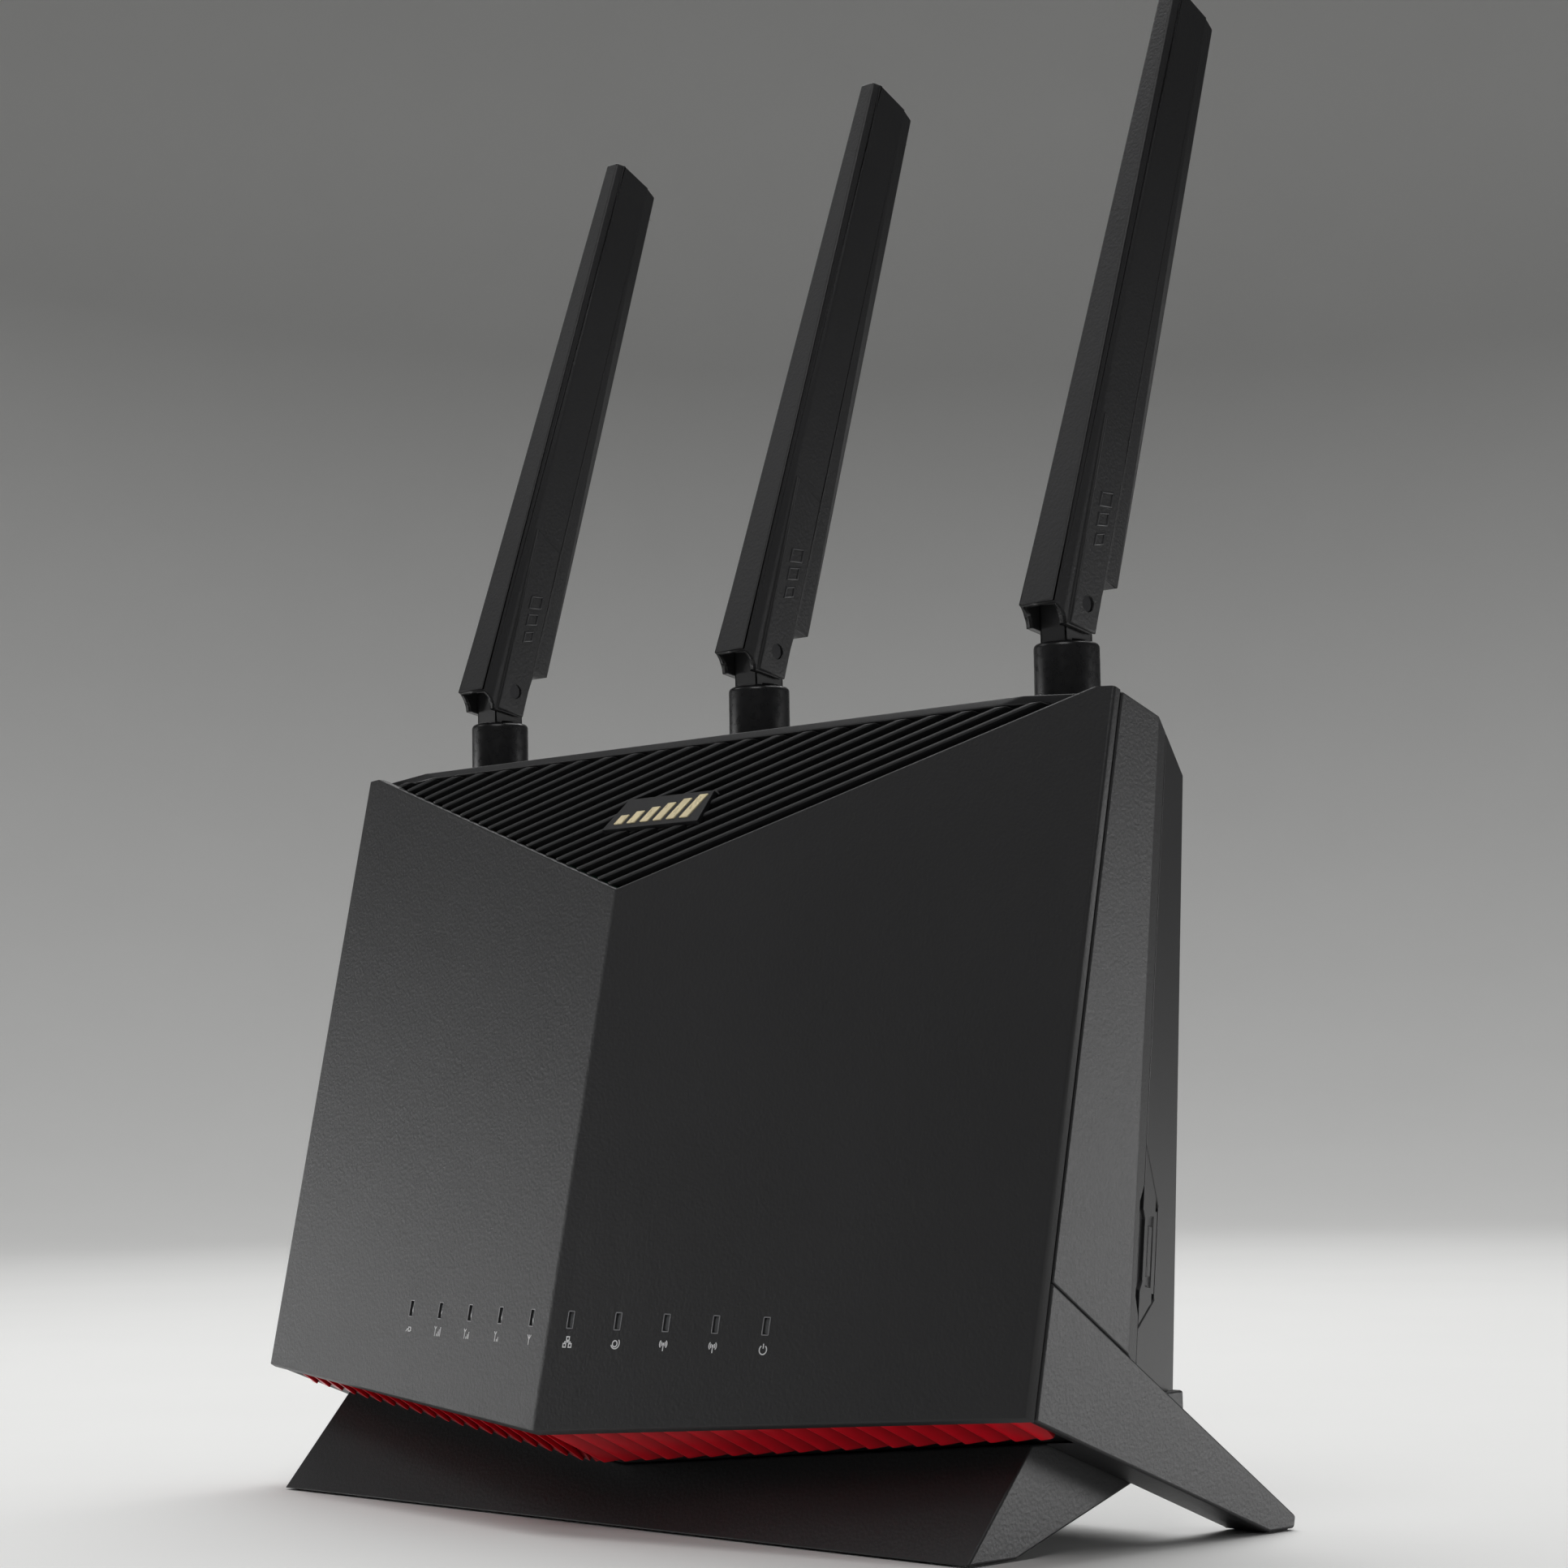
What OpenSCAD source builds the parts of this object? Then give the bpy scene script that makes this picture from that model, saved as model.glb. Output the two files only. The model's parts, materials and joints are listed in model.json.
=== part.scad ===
// Desktop wireless router with a SIM slot: a wedge-shaped housing with a two-facet front, a slatted
// grille, three tilting antennas and an A-shaped stand. All sizes are in millimetres.
// +X is the right side seen from the front, +Y points to the back and +Z is up. The origin lies on
// the table, below the middle of the box around the whole object.

/* [Housing] */
// Width over the two side panels
body_w = 242; // [230:1:292]
// Height of the front's upper edge above the table
front_top_z = 171.4; // [160:0.2:206]
// Height of the front's lower corners
corner_low_z = 28.5; // [26:0.5:32]
// How far the lower corners stand in front of the upper edge
corner_forward = 31; // [26:0.5:36]
// How far the grille's lower point lies below the upper edge
grille_drop = 36; // [28:0.5:44]
// How far the grille's lower point stands in front of the upper edge
grille_forward = 26; // [22:0.5:30]
// Height of the ridge's lower end
ridge_low_z = 20.8; // [19:0.2:24]
// Distance of the rear wall behind the front's upper edge
rear_y = 32.5; // [30:0.5:40]
// Wall thickness of the covers
wall = 2.4; // [2:0.1:3]
// Thickness of the roof, which shows as a rim above the grille
roof_wall = 2; // [1.6:0.1:2.6]
// Gap between covers that meet
seam = 0.2; // [0.15:0.05:0.3]

/* [Side panels and legs] */
// Depth of the side panel at its top
side_top_depth = 13.3; // [12:0.1:15]
// Fall of the roof from the upper edge to the side panel's rear corner
side_top_fall = 7; // [5:0.5:9]
// Height where the side panel's rear edge meets the leg
side_low_z = 39.5; // [36:0.5:43]
// How far that point stands in front of the upper edge
side_low_forward = 1; // [0:0.2:3]
// Turn of the tapered rear strip away from the side, in degrees
strip_turn = 26; // [20:1:30]
// Width of the side panel's lip on the tapered strip
lip_w = 6.2; // [5:0.1:7.5]
// Height where the leg's upper edge starts at the front
leg_top_z = 55.1; // [50:0.5:60]
// Distance of the foot's tip behind the upper edge
foot_tip_y = 50.3; // [44:0.5:60]
// Length of the foot's flat sole
sole_l = 8.8; // [7:0.2:12]
// Height of the foot's blunt end
foot_end_h = 2.6; // [2:0.2:4]
// Thickness of the leg behind the housing
leg_t = 11.6; // [8:0.2:13]

/* [Underside and stand] */
// How far the ribbed band's rear edge stands in front of the upper edge, in the middle
band_rear_forward = 34.9; // [32:0.5:37]
// Height of that edge in the middle
keel_z = 12.1; // [11:0.1:14]
// Rise of the underside from the middle to the sides
keel_rise = 10.9; // [8:0.5:13]
// Thickness of the ribbed band
band_t = 3.4; // [3:0.2:5]
// How deep the band sits inside the front cover's lower edge
band_recess = 0.8; // [0.5:0.1:1.5]
// Spacing of the band's ribs
rib_pitch = 6.05; // [5:0.05:8]
// Half of the stand's width
stand_half_w = 109; // [100:1:109]
// How far the skirt's lower edge stands in front of the upper edge
skirt_forward = 35.5; // [30:0.5:40]
// How far the skirt's upper edge stands in front of the upper edge
skirt_top_forward = 16.2; // [14:0.5:20]
// Length of the skirt's flat sole
skirt_sole_l = 13.9; // [12:0.5:18]
// Height of the arch between skirt and legs, at its rear end
arch_h = 13.1; // [11:0.5:14]
// Thickness of the stand's walls
stand_wall = 2.6; // [2.2:0.1:3.2]
// How far the rubber pads stand proud of the soles
pad_proud = 0.4; // [0.3:0.1:0.8]

/* [Grille and badge] */
// Spacing of the bars along the upper edge
bar_pitch = 9.31; // [8:0.1:11]
// Width of a bar, along the upper edge
bar_w = 3; // [2.4:0.1:3.6]
// Depth of the bars
bar_depth = 2.6; // [2:0.1:3]
// Depth of the frame behind the bars
grille_frame_depth = 2; // [1.5:0.1:3]
// Width of the badge plate
badge_w = 30.8; // [26:0.5:34]
// Height of the badge plate along the grille
badge_h = 8.4; // [7:0.2:9]
// Distance of the badge below the upper edge, along the grille
badge_drop = 19; // [16:0.5:22]

/* [Status lights] */
// Number of status lights
light_count = 10; // [6:1:12]
// Spacing of the status lights
light_pitch = 12.78; // [11:0.1:13]
// Position of the first light
light_first_x = -57.97; // [-60:0.1:-50]
// Height of the lights above the table
light_z = 43.75; // [42:0.25:50]
// Width of a light window
light_w = 1.5; // [1.2:0.1:2]
// Height of a light window
light_h = 3.4; // [2.8:0.1:4]

/* [Antennas] */
// Distance of the outer antennas from the housing's sides
antenna_edge = 28.4; // [24:0.2:40]
// Distance of the antenna sockets behind the front's upper edge
antenna_y = 18.2; // [17:0.2:20]
// Height of the collars' tops above the front's upper edge
collar_rise = 11.1; // [9:0.1:14]
// Radius of the collars
collar_r = 6.9; // [6.6:0.1:8]
// Height of the tilt pin above the collar's top
pin_rise = 7.7; // [7.5:0.1:9]
// Lean of the blades away from upright, in degrees
blade_lean = 17.5; // [0:0.5:60]
// Length of a blade above its pin, at the front
blade_l = 146.5; // [110:0.5:180]
// Radius of the tilt pin
pin_r = 1.25; // [1:0.05:1.5]
// Width of the knuckle between the blade's ears
knuckle_w = 7; // [6:0.1:7.4]
// Radial clearance of pins and swivels
running_gap = 0.06; // [0.03:0.01:0.1]

/* [Sockets and buttons] */
// Height of the row of sockets above the table
port_z = 39; // [37:0.5:44]
// Spacing of the network sockets
jack_pitch = 14.6; // [14.2:0.1:16]
// Travel of the power button
power_travel = 1.5; // [1:0.1:2]
// Travel of the small buttons
button_travel = 1; // [0.6:0.1:1.2]
// Gap around the buttons
button_gap = 0.25; // [0.2:0.05:0.4]

/* [SIM door] */
// Heights of the door's four corners above the table, from the top down
sim_door_z = [79.7, 68.1, 49.9, 39.8];
// Distance of the door's hinge edge behind the side panel's rear edge
sim_door_edge = 18.6; // [16:0.2:20]
// Thickness of the door
sim_door_t = 1.6; // [1.4:0.1:2]

/* [Boards] */
// Thickness of the printed circuit boards
board_t = 1.6; // [1:0.1:2]
// Distance of the main board's rear face behind the front's upper edge
board_rear_y = 13.2; // [12.5:0.1:14]

/* [Hidden] */
$fn = 48;

far = 400;
housing_black = [0.045, 0.045, 0.048];
trim_black = [0.03, 0.03, 0.032];
band_red = [0.62, 0.01, 0.03];
badge_gold = [0.8, 0.68, 0.38];
board_green = [0.04, 0.22, 0.14];
steel = [0.7, 0.7, 0.72];
rubber_black = [0.02, 0.02, 0.02];

function unit(v) = v / norm(v);

// Corners and faces of the right half of the housing. A face is a point on it and its outward normal.
half_w = body_w / 2;
corner_top = [half_w, 0, front_top_z];
corner_low = [half_w, -corner_forward, corner_low_z];
grille_point = [0, -grille_forward, front_top_z - grille_drop];
facet_n = unit(cross(grille_point - corner_top, corner_low - corner_top));
function facet_y(x, z) =
    -(facet_n.x * (abs(x) - half_w) + facet_n.z * (z - front_top_z)) / facet_n.y;
ridge_low = [0, facet_y(0, ridge_low_z), ridge_low_z];
facet_face = [corner_top, facet_n];
grille_face = [corner_top, unit([0, -grille_drop, grille_forward])];
grille_edge_face = [corner_top, unit(cross(grille_point - corner_top, facet_n))];

side_rear_top = [half_w, side_top_depth, front_top_z - side_top_fall];
side_rear_low = [half_w, -side_low_forward, side_low_z];
edge_dir = unit(side_rear_top - side_rear_low);
edge_lean = atan2(edge_dir.y, edge_dir.z);
function turned(v) = [v.x * cos(strip_turn) - v.y * sin(strip_turn),
    (v.x * sin(strip_turn) + v.y * cos(strip_turn)) * cos(edge_lean) + v.z * sin(edge_lean),
    v.z * cos(edge_lean) - (v.x * sin(strip_turn) + v.y * cos(strip_turn)) * sin(edge_lean)];
strip_face = [side_rear_top, turned([1, 0, 0])];
lip_face = [side_rear_top + turned([0, lip_w, 0]), turned([0, 1, 0])];

roof_rear_slope = 0.375;
roof_front_face = [corner_top, unit([0, side_top_fall, side_top_depth])];
roof_rear_face = [side_rear_top, unit([0, roof_rear_slope, 1])];
function roof_z(y) = side_rear_top.z - roof_rear_slope * (y - side_top_depth);

band_rear = [0, -band_rear_forward, keel_z];
under_face = [corner_low, unit(cross(ridge_low - corner_low, band_rear - corner_low))];
keel_face = [band_rear, unit([keel_rise, 0, -half_w])];
function keel_at(x) = keel_z + keel_rise * abs(x) / half_w;

foot_tip = [half_w, foot_tip_y, pad_proud + foot_end_h];
leg_front = [half_w, facet_y(half_w, leg_top_z), leg_top_z];
leg_dir = unit(foot_tip - leg_front);
leg_face = [leg_front, [0, leg_dir.z, -leg_dir.y]];

// Everything is drawn with its front upper edge at Y = 0, then moved to the middle of its box.
tip_rear_u = 8.9;
tip_slant = 3;
pin_z = front_top_z + collar_rise + pin_rise;
tip_rear_y = antenna_y + (blade_l - tip_slant) * sin(blade_lean) + tip_rear_u * cos(blade_lean);
middle_y = (max(tip_rear_y, foot_tip_y) + ridge_low.y) / 2;

module in_place() {
    translate([0, -middle_y, 0]) children();
}

module both_sides() {
    children();
    mirror([1, 0, 0]) children();
}

module right_half() {
    translate([0, -far, -far]) cube([far, 2 * far, 2 * far]);
}

// All space beyond a face, moved inwards by inset.
module beyond(face, inset = 0) {
    n = face[1];
    translate(face[0] - n * inset)
        rotate([0, acos(n.z), atan2(n.y, n.x)])
            translate([-far, -far, 0]) cube([2 * far, 2 * far, far]);
}

// A flat outline in Y and Z, made solid between two values of X.
module side_slab(x0, x1) {
    translate([x0, 0, 0]) rotate([90, 0, 90]) linear_extrude(x1 - x0) children();
}

// Strip coordinates: X out of the strip, Y across it towards the back, Z up along its edge.
module on_strip() {
    translate(side_rear_top) rotate([-edge_lean, 0, 0]) rotate([0, 0, strip_turn]) children();
}

// Grille coordinates: X to the right, Y up the slope, Z out of the grille.
grille_tilt = atan2(grille_drop, grille_forward);
module on_grille() {
    translate([0, 0, front_top_z]) rotate([grille_tilt, 0, 0]) children();
}

module along_y(y0, y1, r) {
    translate([0, y1, 0]) rotate([90, 0, 0]) cylinder(r = r, h = y1 - y0);
}

// A thin round lead through a list of points.
module lead(points, r) {
    for (i = [0 : len(points) - 2]) {
        d = points[i + 1] - points[i];
        translate(points[i]) rotate([0, acos(d.z / norm(d)), atan2(d.y, d.x)])
            cylinder(r = r, h = norm(d));
    }
    for (i = [1 : len(points) - 2]) translate(points[i]) sphere(r = r * 1.08);
}

// The whole outer shape of the housing, with each face moved inwards by its own amount.
module housing_volume(facet = 0, grille = 0, roof = 0, side = 0, strip = 0, rear = 0, under = 0,
        keel = 0) {
    front_room = 80;
    difference() {
        translate([-half_w + side, -front_room, 0])
            cube([body_w - 2 * side, front_room + rear_y - rear, front_top_z + far / 10]);
        both_sides() {
            beyond(facet_face, facet);
            beyond(strip_face, strip);
            beyond(under_face, under);
            beyond(keel_face, keel);
        }
        beyond(grille_face, grille);
        beyond(roof_front_face, roof);
        beyond(roof_rear_face, roof);
    }
}

module grille_side(inset = 0) {
    both_sides() intersection() {
        beyond(grille_edge_face, inset);
        right_half();
    }
}

// --- Front cover -------------------------------------------------------------------------------

screw_r = 1.5;
screw_head_r = 3.2;
boss_r = 4;
screw_x = half_w - 35;
screw_low_z = 60;
screw_high_z = front_top_z - 31.4;
screw_tip_room = 0.6;
screw_tip_y = facet_y(screw_x, screw_high_z) + wall + 2.5;
flange_t = 2;
flange_x = half_w - wall - seam - flange_t;
board_front_y = board_rear_y - board_t;

function light_x(i) = light_first_x + i * light_pitch;
led_board_y = facet_y(light_first_x, light_z) + 11.5;
led_board_t = 1.2;
led_board_h = 10;
led_post_x = half_w - 57;

module at_screws() {
    for (x = [-screw_x, screw_x], z = [screw_low_z, screw_high_z]) translate([x, 0, z]) children();
}

module at_led_posts() {
    for (x = [-led_post_x, led_post_x]) translate([x, 0, light_z]) children();
}

module side_flange() {
    difference() {
        intersection() {
            housing_volume(side = wall + seam, roof = roof_wall + seam, strip = wall + seam,
                keel = wall + seam, under = band_recess + band_t + seam);
            translate([flange_x, -far, 0]) cube([flange_t, 2 * far, far]);
        }
        at_leg_screw(0) cylinder(r = leg_screw_r + screw_play, h = far);
    }
}

module front_cover() color(housing_black) in_place() {
    post_r = 2.4;
    difference() {
        union() {
            intersection() {
                housing_volume();
                both_sides() beyond(facet_face, wall);
            }
            both_sides() side_flange();
            intersection() {
                housing_volume(facet = wall / 2);
                union() {
                    at_screws() along_y(-far / 4, board_front_y - seam, boss_r);
                    at_led_posts() along_y(-far / 4, led_board_y, post_r);
                }
            }
        }
        grille_side(0);
        at_screws() along_y(screw_tip_y - screw_tip_room, far / 10, screw_r);
        for (i = [0 : light_count - 1])
            translate([light_x(i) - light_w / 2, -far / 4, light_z - light_h / 2])
                cube([light_w, far / 4 + led_board_y - 6, light_h]);
    }
}

// --- Grille and badge --------------------------------------------------------------------------

bar_angle = atan2(norm([0, grille_forward, grille_drop]), half_w);
grille_frame_w = 3;

module top_grille() color(trim_black) in_place() {
    slot_w = (bar_pitch - bar_w) * sin(bar_angle);
    depth = bar_depth + grille_frame_depth;
    bars = ceil(body_w / bar_pitch);
    difference() {
        intersection() {
            housing_volume(roof = roof_wall + seam, side = wall + seam, facet = 0.01);
            beyond(grille_face, depth);
            grille_side(-seam);
        }
        // Slots between the bars: shallow over the frame, and right through inside it.
        on_grille() for (i = [0 : bars])
            translate([half_w - i * bar_pitch, 0, 0]) rotate([0, 0, bar_angle])
                translate([-body_w * 1.2, 0, -bar_depth])
                    cube([body_w * 1.4, slot_w, 2 * bar_depth]);
        intersection() {
            on_grille() for (i = [0 : bars])
                translate([half_w - i * bar_pitch, 0, 0]) rotate([0, 0, bar_angle])
                    translate([-body_w * 1.2, 0, -far / 20]) cube([body_w * 1.4, slot_w, far / 20]);
            grille_side(-seam - grille_frame_w);
            housing_volume(roof = roof_wall + seam + grille_frame_w,
                side = wall + 2 * grille_frame_w);
        }
        badge_seat(seam);
    }
}

badge_t = 1.4;
badge_proud = 0.5;
badge_skew = 4;
badge_mark_deep = 0.3;

module badge_outline(grow = 0) {
    left = -badge_w / 2 - grow;
    right = badge_w / 2 + 1 + grow;
    translate([0, -badge_drop]) polygon([[left + badge_skew, grow], [right, grow],
        [right - 0.4, -badge_h - grow], [left - grow, -badge_h - grow]]);
}

module badge_seat(grow) {
    on_grille() translate([0, 0, badge_proud - badge_t - 0.1]) linear_extrude(far / 20)
        badge_outline(grow);
}

module badge_plate() color(trim_black) in_place() on_grille()
    translate([0, 0, badge_proud - badge_t]) difference() {
        linear_extrude(badge_t) badge_outline();
        translate([0, 0, badge_t - badge_mark_deep]) linear_extrude(1) badge_bars(0.05);
    }

// A generic mark: six slanted bars that rise like a signal meter.
module badge_bars(grow) {
    count = 6;
    step = 4.3;
    w = 2.6;
    low = 1.3;
    for (i = [0 : count - 1]) {
        x = -badge_w / 2 + 3.4 + i * step;
        h = 2.4 + i * 0.75;
        y = -badge_drop - badge_h + low;
        polygon([[x - grow, y - grow], [x + w + grow, y - grow],
            [x + w + h * 0.5 + grow, y + h + grow], [x + h * 0.5 - grow, y + h + grow]]);
    }
}

module badge_mark() color(badge_gold) in_place() on_grille()
    translate([0, 0, badge_proud - badge_mark_deep]) linear_extrude(0.2 + badge_mark_deep) badge_bars(0);

// --- Side panels -------------------------------------------------------------------------------

leg_screw_y = -6;
leg_screw_z = corner_low_z + 3.5;
leg_screw_r = 1.3;
screw_play = 0.3;
screw_fit = 0.02;

module at_leg_screw(x) {
    translate([x, leg_screw_y, leg_screw_z]) rotate([0, 90, 0]) children();
}

module side_panel() {
    grip_z = [side_height(sim_door_z[0] - 7), side_height(sim_door_z[1]),
        side_height(sim_door_z[2]), side_height(sim_door_z[3] + 5)];
    grip_w = 2.8;
    difference() {
        union() {
            intersection() {
                housing_volume(facet = wall + seam);
                translate([half_w - wall, -far, 0]) cube([far, 2 * far, far]);
            }
            difference() {
                intersection() {
                    housing_volume(facet = wall + seam);
                    right_half();
                }
                housing_volume(facet = -far / 10, grille = -far / 10, roof = -far / 10, side = wall,
                    strip = wall, rear = -far / 10, under = -far / 10, keel = -far / 10);
                beyond(lip_face);
            }
        }
        beyond(leg_face, -seam / 2);
        on_strip() side_slab(-1.2, far / 10) polygon([[lip_w + 1, grip_z[0]], [lip_w - grip_w, grip_z[1]],
            [lip_w - grip_w, grip_z[2]], [lip_w + 1, grip_z[3]]]);
    }
}

// Distance along the strip's edge of a height above the table.
function side_height(z) = (z - side_rear_top.z) / edge_dir.z;

module side_panel_right() color(housing_black) in_place() side_panel();
module side_panel_left() color(housing_black) in_place() mirror([1, 0, 0]) side_panel();

// --- Legs --------------------------------------------------------------------------------------

pad_l = 6.4;
pad_w = 9;
pad_deep = 1;
pad_play = 0.05;

module leg_outline() {
    toe_chamfer = 0.6;
    polygon([[corner_low.y, corner_low.z], [leg_front.y, leg_front.z], [foot_tip.y, foot_tip.z],
        [foot_tip.y - toe_chamfer, pad_proud], [foot_tip.y - sole_l, pad_proud]]);
}

// A flat blade beside the housing that thickens into the foot behind it.
module leg() {
    outer_wall = 0.8;
    boss_r = 2 * leg_screw_r;
    difference() {
        union() {
            difference() {
                side_slab(half_w - wall, half_w) leg_outline();
                beyond(facet_face, wall + seam);
            }
            difference() {
                side_slab(half_w - leg_t, half_w) leg_outline();
                housing_volume(facet = -far / 10, side = -1, strip = -seam, keel = -seam,
                    under = -far / 10, rear = -far / 20);
            }
            at_leg_screw(flange_x + flange_t) cylinder(r = boss_r, h = wall);
        }
        beyond([leg_front, -leg_face[1]], seam / 2);
        leg_pad(pad_play);
        at_leg_screw(flange_x) cylinder(r = leg_screw_r, h = half_w - flange_x - outer_wall);
    }
}

module leg_pad(grow = 0) {
    translate([half_w - leg_t / 2 - pad_w / 2 - grow, foot_tip_y - sole_l / 2 - pad_l / 2 - grow, 0])
        cube([pad_w + 2 * grow, pad_l + 2 * grow, pad_proud + pad_deep + grow]);
}

module leg_right() color(housing_black) in_place() leg();
module leg_left() color(housing_black) in_place() mirror([1, 0, 0]) leg();

// --- Underside band ----------------------------------------------------------------------------

under_n = under_face[1];
under_roll = atan2(-under_n.x, -under_n.z);
under_pitch = atan2(under_n.y, norm([under_n.x, under_n.z]));
function under_z(x, y) = corner_low.z
    - (under_n.x * (x - half_w) + under_n.y * (y - corner_low.y)) / under_n.z;

// Overlapping ribs that run from front to back, each sunk deeper towards its outer edge.
module underside_trim() color(band_red) in_place() {
    rib_turn = -6;
    shingle = 13;
    ribs = ceil(half_w / rib_pitch);
    rib_l = 60;
    intersection() {
        housing_volume(facet = wall + seam, side = wall + seam, under = band_recess);
        both_sides() beyond(under_face, band_recess + band_t);
        both_sides() intersection() {
            right_half();
            union() {
                for (i = [-1 : ribs])
                    translate([i * rib_pitch, ridge_low.y, under_z(i * rib_pitch, ridge_low.y)])
                        rotate([0, under_roll, 0]) rotate([under_pitch, 0, rib_turn])
                            translate([0, 0, band_recess]) rotate([0, -shingle, 0])
                                translate([0, -rib_l / 3, 0])
                                    cube([rib_pitch / cos(shingle) + 0.1, rib_l, 2 * band_t]);
            }
        }
    }
}

// --- Stand -------------------------------------------------------------------------------------

stand_rear_y = 30;
arch_rear_y = 17.5;

module stand_outline(inset = 0) {
    foot_y = -skirt_forward + skirt_sole_l;
    slope = (arch_h - pad_proud) / (arch_rear_y - foot_y);
    top_z = keel_at(half_w) + 6;
    lean = (skirt_forward - skirt_top_forward) / (keel_at(stand_half_w) - pad_proud);
    polygon([[-skirt_forward + inset * 1.6, pad_proud + inset],
        [foot_y - inset * 0.6, pad_proud + inset],
        [stand_rear_y - inset, pad_proud + inset + slope * (stand_rear_y - foot_y)],
        [stand_rear_y - inset, top_z],
        [-skirt_forward + inset * 1.6 + lean * (top_z - pad_proud - inset), top_z]]);
}

module base_stand() color(housing_black) in_place() {
    rib_spacing = 52;
    difference() {
        side_slab(-stand_half_w, stand_half_w) stand_outline();
        difference() {
            side_slab(-stand_half_w + stand_wall, stand_half_w - stand_wall) stand_outline(stand_wall);
            for (i = [-1.5 : 1.5])
                translate([i * rib_spacing - stand_wall / 2, -far / 4, 0]) cube([stand_wall, far / 2, far]);
        }
        housing_volume(side = -far / 10, strip = -seam, keel = -seam, under = -seam, facet = -far / 10,
            rear = -far / 20);
        both_sides() skirt_pad(pad_play);
    }
}

skirt_pad_l = 30;
skirt_pad_w = 10;

module skirt_pad(grow = 0) {
    translate([stand_half_w - 6 - skirt_pad_l - grow,
            -skirt_forward + skirt_sole_l / 2 - skirt_pad_w / 2 - grow, 0])
        cube([skirt_pad_l + 2 * grow, skirt_pad_w + 2 * grow, pad_proud + pad_deep + grow]);
}

module rubber_feet() color(rubber_black) in_place() both_sides() {
    skirt_pad();
    leg_pad();
}

// --- Rear cover --------------------------------------------------------------------------------

lan_x = 18;
wan_x = lan_x - 2.75 * jack_pitch;
usb_x = wan_x - 21;
reset_x = usb_x - 15;
wps_x = reset_x - 12;
wifi_x = wps_x - 15;
power_x = lan_x + 2 * jack_pitch + 17;
dc_x = power_x + 17;
jack_open_w = 11.9;
jack_open_h = 8.2;
power_r = 4;
small_w = 8;
small_h = 4;
reset_r = 1.4;
dc_face_r = 5;
rear_inner_y = rear_y - wall;

module pill(w, h, y0, y1) {
    translate([0, y1, 0]) rotate([90, 0, 0]) linear_extrude(y1 - y0) {
        square([w - h, h], center = true);
        for (s = [-1, 1]) translate([s * (w - h) / 2, 0]) circle(r = h / 2);
    }
}

module rear_cut(x, w, h) {
    translate([x - w / 2, rear_inner_y - 1, port_z - h / 2]) cube([w, far / 10, h]);
}

module port_cuts() {
    for (i = [0 : 3]) rear_cut(lan_x + (i - 1.5) * jack_pitch, jack_open_w, jack_open_h);
    rear_cut(wan_x, jack_open_w, jack_open_h);
    rear_cut(usb_x, usb_w + 0.6, usb_h + 0.6);
    for (x = [wps_x, wifi_x]) translate([x, 0, port_z])
        pill(small_w + 2 * button_gap, small_h + 2 * button_gap, rear_inner_y - 1, rear_y + 1);
    translate([reset_x, 0, port_z]) along_y(rear_inner_y - 1, rear_y + 1, reset_r + button_gap);
    translate([power_x, 0, port_z]) along_y(rear_inner_y - 1, rear_y + 1, power_r + button_gap);
    translate([dc_x, 0, port_z]) along_y(rear_inner_y - 1, rear_y + 1, dc_face_r);
}

// Two rows of upright slots, leaving solid wall around the screw posts.
module vents() {
    slot_w = 2.4;
    pitch = 5.6;
    rows = 2;
    slot_l = (front_top_z - 31.4 - 66) / rows - 8;
    count = floor((screw_x - 12) / pitch);
    for (i = [-count : count], j = [0 : rows - 1])
        translate([i * pitch - slot_w / 2, rear_inner_y - 1, 66 + j * (slot_l + 8)])
            cube([slot_w, far / 10, slot_l]);
}

antenna_x = half_w - antenna_edge;
antenna_seat_z = front_top_z - 3;
seat_r = 8.6;
socket_r = 3.15;

module at_antennas() {
    for (x = [-antenna_x, 0, antenna_x]) translate([x, antenna_y, 0]) children();
}

function door_point(s, i) = [s, side_height(sim_door_z[i])];

module door_outline(inset = 0) {
    polygon([door_point(lip_w, 0) + [inset, -inset * 2], door_point(sim_door_edge, 1) + [-inset, -inset],
        door_point(sim_door_edge, 2) + [-inset, inset], door_point(lip_w, 3) + [inset, 4 + inset * 2]]);
}

bay_wall = 2;
bay_depth = 4;
hinge_r = 0.9;
hinge_pin_r = 0.5;
hinge_s = sim_door_edge - seam - hinge_r;
window_s = [lip_w + 1.8, sim_door_edge - 3.3];
window_z = [side_height(sim_door_z[2] + 1.6), side_height(sim_door_z[1] - 1)];

module sim_window() {
    on_strip() side_slab(-bay_depth - 5, far / 20)
        polygon([[window_s[0], window_z[0]], [window_s[1], window_z[0]],
            [window_s[1], window_z[1]], [window_s[0], window_z[1]]]);
}

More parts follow.
